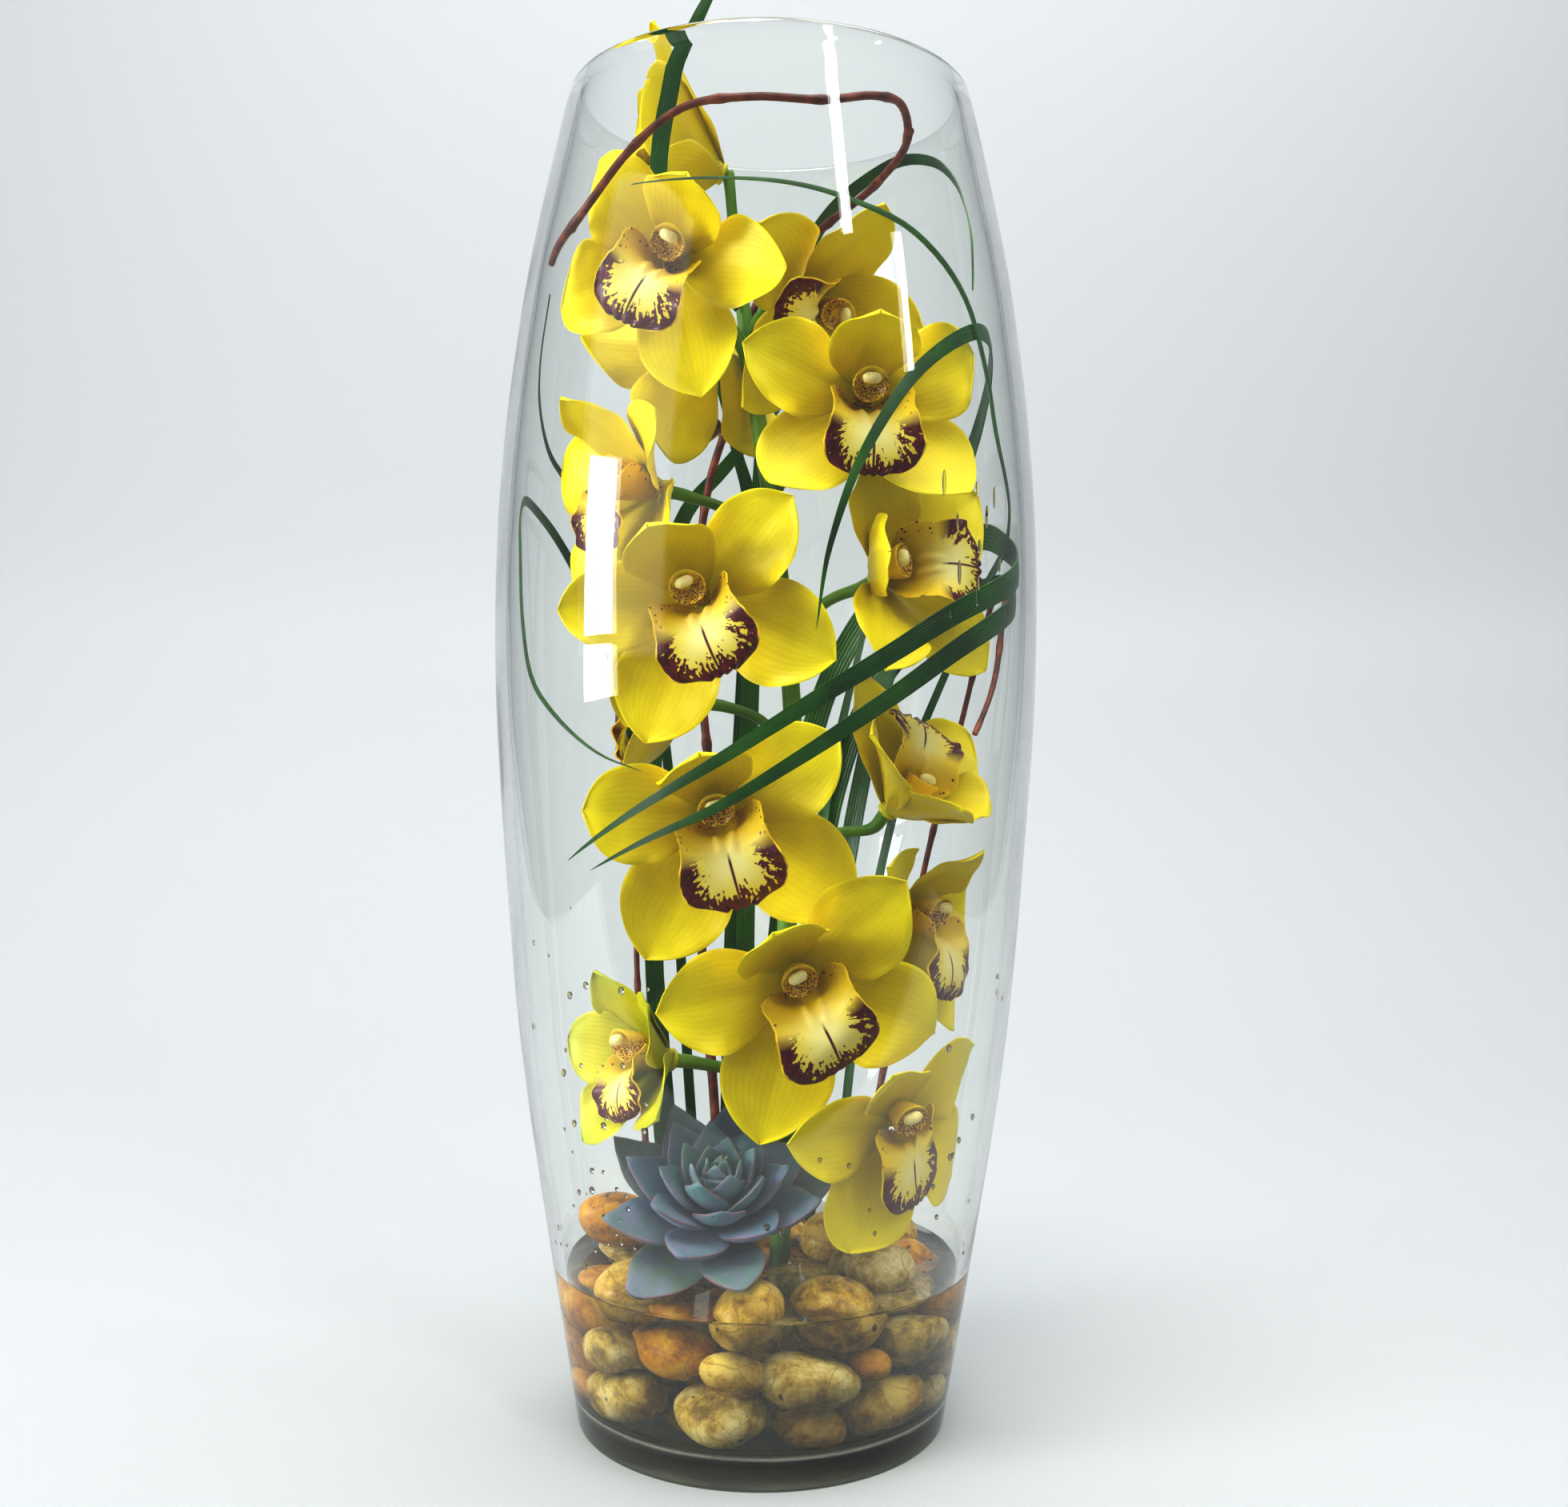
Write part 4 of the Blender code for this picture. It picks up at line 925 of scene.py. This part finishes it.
def bladeFace(point):
    # square to the glass beside it, and to the front further in
    reach = point.xy.length
    level = min(point.z, vase["height"] - 0.002)
    slope = (innerRadius(level + 0.001) - innerRadius(level - 0.001)) / 0.002
    front = min(max((innerRadius(level) - reach - 0.012) / 0.020, 0), 1)
    square = Vector((point.x / reach, point.y / reach, -slope)).normalized()
    return square.lerp(Vector((0, -1, 0)), front).normalized()


def makeBlade(number, width, points):
    route = wallRoute(points, grass["step"])
    last = len(route) - 1

    def place(u, v):
        i = round(u * last)
        ahead = (route[min(i + 1, last)] - route[max(i - 1, 0)]).normalized()
        out = bladeFace(route[i])
        t = i / last
        wide = min(0.55 + 3 * t, 1) * (1 - max(t - 0.6, 0) / 0.4) ** 0.75
        side = ahead.cross(out).normalized()
        return route[i] + side * v * wide * width / 2 + out * grass["fold"] * (0.5 - abs(v)) * wide

    blade = gridPiece(f"grass{number:02d}", last, 6, place)
    thicken(blade, grass["thickness"])
    return blade


# Lily grass: a satin dark green leaf whose veins run its whole length, drawn 1.4 mm apart so that they show
bladeSkin, shader, add = newMaterial("veinedGrassBlade", {
    "IOR": 1.45, "Coat Weight": 0.05, "Coat Roughness": 0.25,
})
where = add("TexCoord")
veins = add("TexWave", {"bands_direction": "X", "Scale": 7 * math.tau / 20, "Distortion": 0.25,
                        "Vector": where["UV"]})
drift = add("TexNoise", {"Scale": 1 / 0.030, "Detail": 4.0, "Vector": where["Object"]})
ground = add("ValToRGB", {"stops": [(0.30, "#123C06"), (0.52, "#22600C"), (0.74, "#468414")], 0: drift[0]})
veined = add("Math", {"operation": "MULTIPLY", 0: veins[1], 1: 0.9})
colour = add("Mix", {"data_type": "RGBA", "blend_type": "MULTIPLY", 0: veined[0], 6: ground[0], 7: "#6E9450"})
bump = add("Bump", {"Strength": 0.35, "Distance": 0.0002, "Height": veins[1]})
rough = add("MapRange", {"To Min": 0.28, "To Max": 0.46, "Value": drift[0]})
setNode(shader, {"Base Color": colour[2], "Normal": bump[0], "Roughness": rough[0]})

for number, (width, points) in enumerate(grass["blades"], 1):
    finish(makeBlade(number, width, points), f"grass_{number:02d}", bladeSkin)
print("grass made")

willow = {
    "step": 0.004,
    "sides": 12,
    "knotEvery": 0.034, "knot": 0.28, "knotReach": 0.0022,
    "bud": 0.0009, "budStep": (0.0008, 0.00012),  # along the twig and out of it
    "twigs": [  # radius at its foot and at its end, and the route
        (0.0022, 0.0013, [(199, 20, 11), (197, 95, 11), (200, 170, 11), (197, 240, 11), (201, 310, 11),
                          (198, 365, 11), (190, 405, 11), (188, 432, 12), (176, 456, 15), (160, 468, 19),
                          (140, 474, 25), (112, 478, 28), (84, 483, 23), (60, 488, 19), (38, 484, 16),
                          (16, 477, 14), (-6, 477, 14), (-28, 475, 13), (-44, 462, 10), (-58, 442, 6),
                          (-76, 432, 3.6)]),
        (0.0016, 0.0009, [(146, 20, 8.4), (139, 110, 8.4), (128, 200, 8.4), (112, 275, 8.4),
                          (96, 312, 8.4), (80, 318, 7.4), (67, 305, 6.0), (61, 280, 6.0), (52, 260, 6.0)]),
        (0.0016, 0.0009, [(226, 20, 7.4), (223, 100, 7.4), (221, 180, 7.4), (219, 238, 7.4),
                          (225, 262, 7.4), (222, 300, 7.4)]),
    ],
}


def makeTwig(number, thick, thin, points):
    route = wallRoute(points, willow["step"])
    last = len(route) - 1
    every = willow["knotEvery"]
    gone, line, buds = 0.0, [], []
    for i, point in enumerate(route):
        if i:
            gone += (point - route[i - 1]).length
        radius = thick + (thin - thick) * i / last
        off = (gone + 0.5 * every) % every - 0.5 * every
        line.append((point, radius * (1 + willow["knot"] * math.exp(-(off / willow["knotReach"]) ** 2))))
        if abs(off) < willow["step"] / 2 and 0 < i < last - 3:
            buds.append((i, radius))
    pieces = [tubePiece("twig", line, willow["sides"])]
    for k, (i, radius) in enumerate(buds):
        # a small bud lies against the twig just above each knot, on either side in turn
        way = (route[i + 1] - route[i]).normalized()
        square = way.cross(Vector((0, 0, 1)) if abs(way.z) < 0.8 else Vector((1, 0, 0))).normalized()
        side = square * (1 if k % 2 else -1)
        foot = route[i] + side * radius * 0.7
        on, out = willow["budStep"]
        bud = [(foot + way * on * j + side * out * j, willow["bud"] * math.sin(math.pi * (j + 0.6) / 6.6))
               for j in range(7)]
        pieces.append(tubePiece("bud", bud, 8))
    return joined(f"willow{number:02d}", pieces)


# Curly willow: smooth young bark, red-brown with paler pores and fine cross lines, softly glossy
barkSkin, shader, add = newMaterial("youngWillowBark", {
    "IOR": 1.45, "Coat Weight": 0.1, "Coat Roughness": 0.3,
})
where = add("TexCoord")
patches = add("TexNoise", {"Scale": 1 / 0.006, "Detail": 5.0, "Vector": where["Object"]})
colour = add("ValToRGB", {"stops": [
    (0.30, "#3A150C"), (0.50, "#6A2A16"), (0.66, "#8C4526"), (0.80, "#A87A4A"),
], 0: patches[0]})
grain = add("TexNoise", {"Scale": 1 / 0.0009, "Detail": 3.0, "Vector": where["Object"]})
bump = add("Bump", {"Strength": 0.35, "Distance": 0.0003, "Height": grain[0]})
rough = add("MapRange", {"To Min": 0.38, "To Max": 0.62, "Value": grain[0]})
setNode(shader, {"Base Color": colour[0], "Normal": bump[0], "Roughness": rough[0]})

for number, (thick, thin, points) in enumerate(willow["twigs"], 1):
    finish(makeTwig(number, thick, thin, points), f"willow_{number:02d}", barkSkin)
print("willow made")


# Pebbles: each CAD stone made smooth and given its own wear

pebbles = {
    "single": 26,
    "swell": 1.055,  # makes up for what the smoothing takes off
    "gaps": [  # middle and half size of a small stone, in millimetres
        (40, 40, 19, 10.4), (19, -6, 40, 11.0), (-25, 50, 19, 10.4), (-19, 6, 40, 11.0),
        (34, -11, 19, 10.4), (-20, 3, 22, 11.0), (-15, 29, 19, 10.4), (6, -19, 22, 11.0),
        (15, -46, 19, 10.4), (-49, -35, 40, 9.7), (-19, -26, 19, 10.4), (-5, -32, 40, 10.8),
        (-9, -59, 40, 9.2), (53, -17, 19, 8.0), (26, -36, 40, 8.5), (19, 14, 27, 10.6),
        (-14, -19, 33, 9.7), (-29, -15, 33, 9.4), (-55, -9, 19, 7.3), (50, 25, 19, 8.1),
        (19, 57, 33, 8.5), (-9, 59, 40, 8.7), (0, 24, 40, 9.7), (53, 27, 40, 8.2), (-55, 9, 19, 7.5),
        (-40, -6, 22, 6.6), (35, -49, 40, 6.9), (26, 36, 22, 7.1), (32, -24, 33, 7.0),
        (7, 23, 22, 7.2), (11, 34, 33, 7.5), (4, -7, 40, 6.7), (32, 5, 19, 7.0), (29, 15, 40, 7.4),
        (-38, 12, 33, 6.7),
    ],
    "gapLong": 1.25, "gapFlat": 0.85,
    "lumps": 0.0013, "lumpScales": (48, 130),
    "stones": {  # darkest, middle and palest tone of each kind
        "honey_stone": ("#8A5A08", "#CE9A1A", "#F0D066"),
        "tan_stone": ("#7E6220", "#C8A644", "#ECD896"),
        "orange_stone": ("#8E5A00", "#C68204", "#E0A81C"),
        "brown_stone": ("#6C4E0C", "#B68C22", "#DCB850"),
    },
}


def stoneMaterial(name, dark, middle, pale):
    # River quartzite, tumbled: mottled and veined, with pits that hold dirt. Water takes most of its sheen
    # away, so its IOR is nearly that between stone and water.
    material, shader, add = newMaterial(name, {"IOR": 1.22, "Coat Weight": 0.16, "Coat Roughness": 0.12})
    where = add("TexCoord")
    warp = add("TexNoise", {"Scale": 1 / 0.020, "Detail": 2.0, "Vector": where["Object"]})
    bent = add("VectorMath", {"operation": "MULTIPLY_ADD", 0: warp[1], 1: (0.012, 0.012, 0.012),
                              2: where["Object"]})
    mottle = add("TexNoise", {"Scale": 1 / 0.014, "Detail": 5.0, "Roughness": 0.68, "Vector": bent[0]})
    ground = add("ValToRGB", {"stops": [(0.38, dark), (0.48, middle), (0.60, pale)], 0: mottle[0]})
    cracks = add("TexVoronoi", {"feature": "DISTANCE_TO_EDGE", "Scale": 1 / 0.017, "Vector": bent[0]})
    thin = add("MapRange", {"From Max": 0.020, "To Min": 0.55, "To Max": 0.0, "Value": cracks["Distance"]})
    veined = add("Mix", {"data_type": "RGBA", 0: thin[0], 6: ground[0], 7: dark})
    # pits a few millimetres apart, some of them large, with dirt in them
    pits = add("TexVoronoi", {"Scale": 1 / 0.0075, "Vector": bent[0]})
    sizes = add("SeparateColor", {0: pits["Color"]})
    reach = add("MapRange", {"From Min": 0.55, "To Max": 0.26, "Value": sizes[0]})
    inside = add("Math", {"operation": "SUBTRACT", 0: reach[0], 1: pits["Distance"]})
    pit = add("MapRange", {"From Max": 0.05, "Value": inside[0]})
    grains = add("TexNoise", {"Scale": 1 / 0.0010, "Detail": 3.0, "Vector": where["Object"]})
    speck = add("MapRange", {"From Min": 0.60, "From Max": 0.70, "To Max": 0.55, "Value": grains[0]})
    marks = add("Math", {"operation": "MAXIMUM", 0: speck[0], 1: pit[0]})
    colour = add("Mix", {"data_type": "RGBA", 0: marks[0], 6: veined[2], 7: "#54401E"})
    relief = add("Math", {"operation": "SUBTRACT", 0: mottle[0], 1: pit[0]})
    bump = add("Bump", {"Strength": 0.45, "Distance": 0.0006, "Height": relief[0]})
    rough = add("MapRange", {"To Min": 0.26, "To Max": 0.50, "Value": grains[0]})
    setNode(shader, {"Base Color": colour[2], "Normal": bump[0], "Roughness": rough[0]})
    return material


stoneSkins = {name: stoneMaterial(name + "Skin", *tones) for name, tones in pebbles["stones"].items()}
stoneOf = {row["node"]: row["material_slot"] for row in frame["record"]["subparts"]}


def roughen(piece, seed):
    # low lumps, so that no stone is an even egg
    shift = Vector((seed, 0, 0))
    broad, fine = pebbles["lumpScales"]
    lumps = []
    for vertex in piece.data.vertices:  # all normals are read first, because a moved vertex changes them
        height = noise.noise(vertex.co * broad + shift) + 0.3 * noise.noise(vertex.co * fine + shift)
        lumps.append(vertex.normal * height)
    for vertex, lump in zip(piece.data.vertices, lumps):
        vertex.co += lump * pebbles["lumps"]


def smoothStone(name, node, seed):
    piece = nodes[node].copy()
    piece.data = nodes[node].data.copy()
    piece.name = name
    piece.parent = None
    piece.matrix_world = Matrix.Identity(4)
    scene.collection.objects.link(piece)
    pick(piece)
    editAll()
    mergeDoubles()
    bpy.ops.mesh.tris_convert_to_quads(face_threshold=math.radians(60), shape_threshold=math.radians(60))
    bpy.ops.object.mode_set(mode="OBJECT")
    low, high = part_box(node)
    centre = (Vector(low) + Vector(high)) / 2
    for vertex in piece.data.vertices:
        vertex.co = centre + (vertex.co - centre) * pebbles["swell"]
    soften(piece, 3)
    roughen(piece, seed)
    piece.data.materials.clear()
    piece.data.materials.append(stoneSkins[stoneOf[node]])
    return piece


for number in range(1, pebbles["single"] + 1):
    node = f"pebble_{number:02d}"
    finish(smoothStone(f"pebble{number:02d}", node, number), node, None, 80)
# the bed's own stones, and smaller ones packed into the gaps between all the others
bedStones = [smoothStone("bedStones", "pebble_bed", 50)]
for i, (x, y, z, half) in enumerate(pebbles["gaps"]):
    bpy.ops.object.select_all(action="DESELECT")
    bpy.ops.mesh.primitive_uv_sphere_add(segments=20, ring_count=12, radius=half / 1000)
    stone = bpy.context.object
    turn = Matrix.Rotation(2.4 * i, 3, "Z") @ Matrix.Rotation(0.5 * math.sin(i), 3, "Y")
    for vertex in stone.data.vertices:
        shape = Vector((vertex.co.x * pebbles["gapLong"], vertex.co.y, vertex.co.z * pebbles["gapFlat"]))
        vertex.co = turn @ shape + Vector((x, y, z)) / 1000
    roughen(stone, 60 + i)
    stone.data.materials.append(list(stoneSkins.values())[i % 4])
    bedStones.append(stone)
finish(joined("pebbleBed", bedStones), "pebble_bed", None, 80)
print("pebbles made")


# Echeveria: thick spoon leaves with a fine point, set in a spiral

rosette = {
    "place": (-0.016, -0.028), "sunk": 0.006,
    "tilt": 33,
    "leaves": 34, "turn": 137.5,
    # for the innermost leaf, and what is added up to the outermost
    "length": (0.015, 0.035), "width": (0.013, 0.014), "start": (0.010, -0.018),
    "root": 0.0012, "cup": 45,
    "thick": 0.0052, "point": 0.0026,
    "fromStem": 0.008,
}


def makeRosette():
    low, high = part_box("echeveria")
    lean = Matrix.Rotation(math.radians(rosette["tilt"]), 3, "X")
    x, y = rosette["place"]
    centre = Vector((x, y, (low[2] + high[2]) / 2 - rosette["sunk"]))
    stemSide = stemAt(0.09).y - y - rosette["fromStem"]
    pieces = []
    random.seed(4)
    for i in range(rosette["leaves"]):
        t = i / (rosette["leaves"] - 1)
        rise = 78 - 74 * t ** 0.8 + random.uniform(-4, 4)
        length, width, start = (inner + more * t for inner, more in (
            rosette["length"], rosette["width"], rosette["start"]))
        place = tepalPlace(rosette["turn"] * i + random.uniform(-6, 6), length, width, rise, rise + 30,
                           rosette["cup"], start, rosette["root"])
        thick = rosette["thick"] * (0.45 + 0.55 * t)

        def leafPlace(u, v):
            across, above = math.sin(math.pi * v), -math.cos(math.pi * v)
            here = place(u, across * (1 - 0.35 * u ** 6))  # drawn in to a point
            ahead = place(min(u + 0.02, 1), 0) - place(max(u - 0.02, 0), 0)
            here += ahead.normalized() * rosette["point"] * max(u - 0.86, 0) / 0.14  # ends in a fine point
            inner = max(min(u, 0.98), 0.02)
            up = ahead.cross(place(inner, 0.3) - place(inner, -0.3)).normalized()
            swell = math.sin(math.pi * (0.10 + 0.88 * u)) ** 0.6 if 0 < u < 1 else 0
            depth = thick * swell * above * (0.35 if above > 0 else 0.65)
            point = lean @ (here + up * depth * (-1 if up.z < 0 else 1))
            point.y = eased(point.y, stemSide, 0.010)
            return point + centre

        leaf = gridPiece("leaf", 14, 16, leafPlace, closed=True)
        for value in leaf.data.attributes.new("leafAge", "FLOAT", "POINT").data:
            value.value = t
        pieces.append(leaf)
    return joined("rosette", pieces)


# Echeveria leaf: fleshy and blue-green under a pale powder that rubs thin, rosy along the edge
leafSkin, shader, add = newMaterial("powderyEcheveria", {
    "IOR": 1.4, "Subsurface Weight": 0.12, "Subsurface Scale": 0.002,
    "Sheen Weight": 0.12, "Sheen Roughness": 0.5,
})
where = add("TexCoord")
axes = add("SeparateXYZ", {0: where["UV"]})
age = add("Attribute", {"attribute_name": "leafAge"})
ground = add("ValToRGB", {"stops": [
    (0.0, "#86B4A6"), (0.35, "#669094"), (0.7, "#5E7A92"), (1.0, "#688072"),
], 0: age["Fac"]})
patches = add("TexNoise", {"Scale": 1 / 0.012, "Detail": 5.0, "Roughness": 0.6, "Vector": where["Object"]})
powder = add("MapRange", {"From Min": 0.44, "From Max": 0.60, "To Max": 0.60, "Value": patches[0]})
powdered = add("Mix", {"data_type": "RGBA", 0: powder[0], 6: ground[0], 7: "#8482A6"})
# the edge is where UV x is 0.25 or 0.75, a quarter and three quarters of the way round the leaf
turned = add("Math", {"operation": "PINGPONG", 0: axes[0], 1: 0.25})
edge = add("MapRange", {"From Min": 0.185, "From Max": 0.240, "To Max": 0.85, "Value": turned[0]})
outer = add("MapRange", {"From Min": 0.35, "From Max": 0.75, "Value": axes[1]})
edge = add("Math", {"operation": "MULTIPLY", 0: edge[0], 1: outer[0]})
colour = add("Mix", {"data_type": "RGBA", 0: edge[0], 6: powdered[2], 7: "#9C6470"})
fine = add("TexNoise", {"Scale": 1 / 0.0008, "Detail": 3.0, "Vector": where["Object"]})
bump = add("Bump", {"Strength": 0.12, "Distance": 0.0003, "Height": fine[0]})
rough = add("MapRange", {"To Min": 0.40, "To Max": 0.66, "Value": patches[0]})
setNode(shader, {"Base Color": colour[2], "Normal": bump[0], "Roughness": rough[0]})
finish(makeRosette(), "echeveria", leafSkin)
print("rosette made")


# Stage: a pale sweep, soft lamps and the photograph's view

stage = {
    "paper": "#D0D3D4", "halfWidth": 1.05,
    "sweep": [(-0.30, 0.0), (0.30, 0.0), (0.72, 0.07), (0.98, 0.30), (1.08, 0.75), (1.10, 2.6)],
    "world": "#DFE6F0", "worldStrength": 0.24,
    "lamps": {  # place, what it looks at, width, height, watts, colour
        "windowInner": ((-1.460, -0.650, 0.571), (0, 0, 0.40), 0.19, 0.417, 3.6, "#F8FAFF"),
        "windowOuter": ((-1.530, -0.468, 0.571), (0, 0, 0.40), 0.19, 0.417, 3.6, "#F8FAFF"),
        "windowInnerLow": ((-1.460, -0.650, 0.281), (0, 0, 0.28), 0.19, 0.128, 0.8, "#F8FAFF"),
        "windowOuterLow": ((-1.530, -0.468, 0.281), (0, 0, 0.28), 0.19, 0.128, 1.1, "#F8FAFF"),
        "tallStrip": ((0.90, -1.18, 1.74), (0, 0, 0.47), 0.14, 0.60, 4.0, "#FFFFFF"),
        "sideStrip": ((1.24, -0.64, 1.10), (0, 0, 0.38), 0.08, 0.30, 1.2, "#FFFFFF"),
        "leftWall": ((-2.00, -1.10, 1.15), (0, 0, 0.30), 1.8, 1.7, 7, "#F4F7FF"),
        "softKey": ((-0.30, -0.50, 1.95), (0, 0, 0.20), 0.8, 0.8, 16, "#FFFDF6"),
        "softFill": ((0.50, -0.25, 2.00), (0, 0, 0.20), 0.8, 0.8, 7, "#FFFFFF"),
        "wallWash": ((0.25, 0.35, 2.10), (0.25, 1.00, 0.40), 1.8, 0.6, 9.5, "#FFFFFF"),
    },
}


def sweepPlace(u, v):
    # floor, a wide curve, then a wall
    t = u * (len(stage["sweep"]) - 1)
    y, z = (smoothAlong([(i, point[axis]) for i, point in enumerate(stage["sweep"])], t) for axis in (0, 1))
    return Vector((stage["halfWidth"] * v, y, max(z, 0)))


# Matt paper: even and without gloss
paper = newMaterial("matBackdropPaper", {"Base Color": stage["paper"], "Roughness": 0.85})[0]
sweep = gridPiece("backdrop", 40, 4, sweepPlace)
if sweep.data.polygons[0].normal.z < 0:
    editAll()
    bpy.ops.mesh.flip_normals()
    bpy.ops.object.mode_set(mode="OBJECT")
bpy.ops.object.shade_smooth()
sweep.data.materials.append(paper)

world = bpy.data.worlds.new("studio")
scene.world = world
world.use_nodes = True
setNode(world.node_tree.nodes["Background"], {0: stage["world"], 1: stage["worldStrength"]})

for name, (place, target, width, height, watts, colour) in stage["lamps"].items():
    bpy.ops.object.light_add(type="AREA", location=place)
    lamp = bpy.context.object
    lamp.name = name
    lamp.data.shape = "RECTANGLE"
    lamp.data.size, lamp.data.size_y = width, height
    lamp.data.energy = watts
    lamp.data.color = toLinear(colour)[:3]
    lamp.rotation_euler = (Vector(target) - Vector(place)).to_track_quat("-Z", "Y").to_euler()

# the photograph is 2035 pixels from the eye at its width of 1960
camera = {"place": (0, -0.622, 0.2564), "sensor": 36, "lens": 2035 / 1960 * 36,
          "yaw": 0.65, "pitch": -0.37, "roll": 0.41}
bpy.ops.object.camera_add(location=camera["place"])
view = bpy.context.object
view.name = "photoView"
view.data.sensor_width = camera["sensor"]
view.data.lens = camera["lens"]
view.data.clip_start = 0.01
turns = [Matrix.Rotation(math.radians(angle), 3, axis) for angle, axis in (
    (-camera["yaw"], "Z"), (90, "X"), (camera["pitch"], "X"), (camera["roll"], "Z"))]
view.rotation_euler = (turns[0] @ turns[1] @ turns[2] @ turns[3]).to_euler()
scene.camera = view

scene.view_settings.view_transform = "Standard"
scene.view_settings.look = "None"
scene.view_settings.exposure = 0.32
scene.view_settings.gamma = 0.84
scene.cycles.max_bounces = 6
scene.cycles.diffuse_bounces = 2
scene.cycles.glossy_bounces = 2
scene.cycles.transmission_bounces = 6
scene.cycles.transparent_max_bounces = 8
scene.cycles.sample_clamp_indirect = 6.0
scene.cycles.light_sampling_threshold = 0.05
scene.cycles.use_denoising = True
print("stage set")
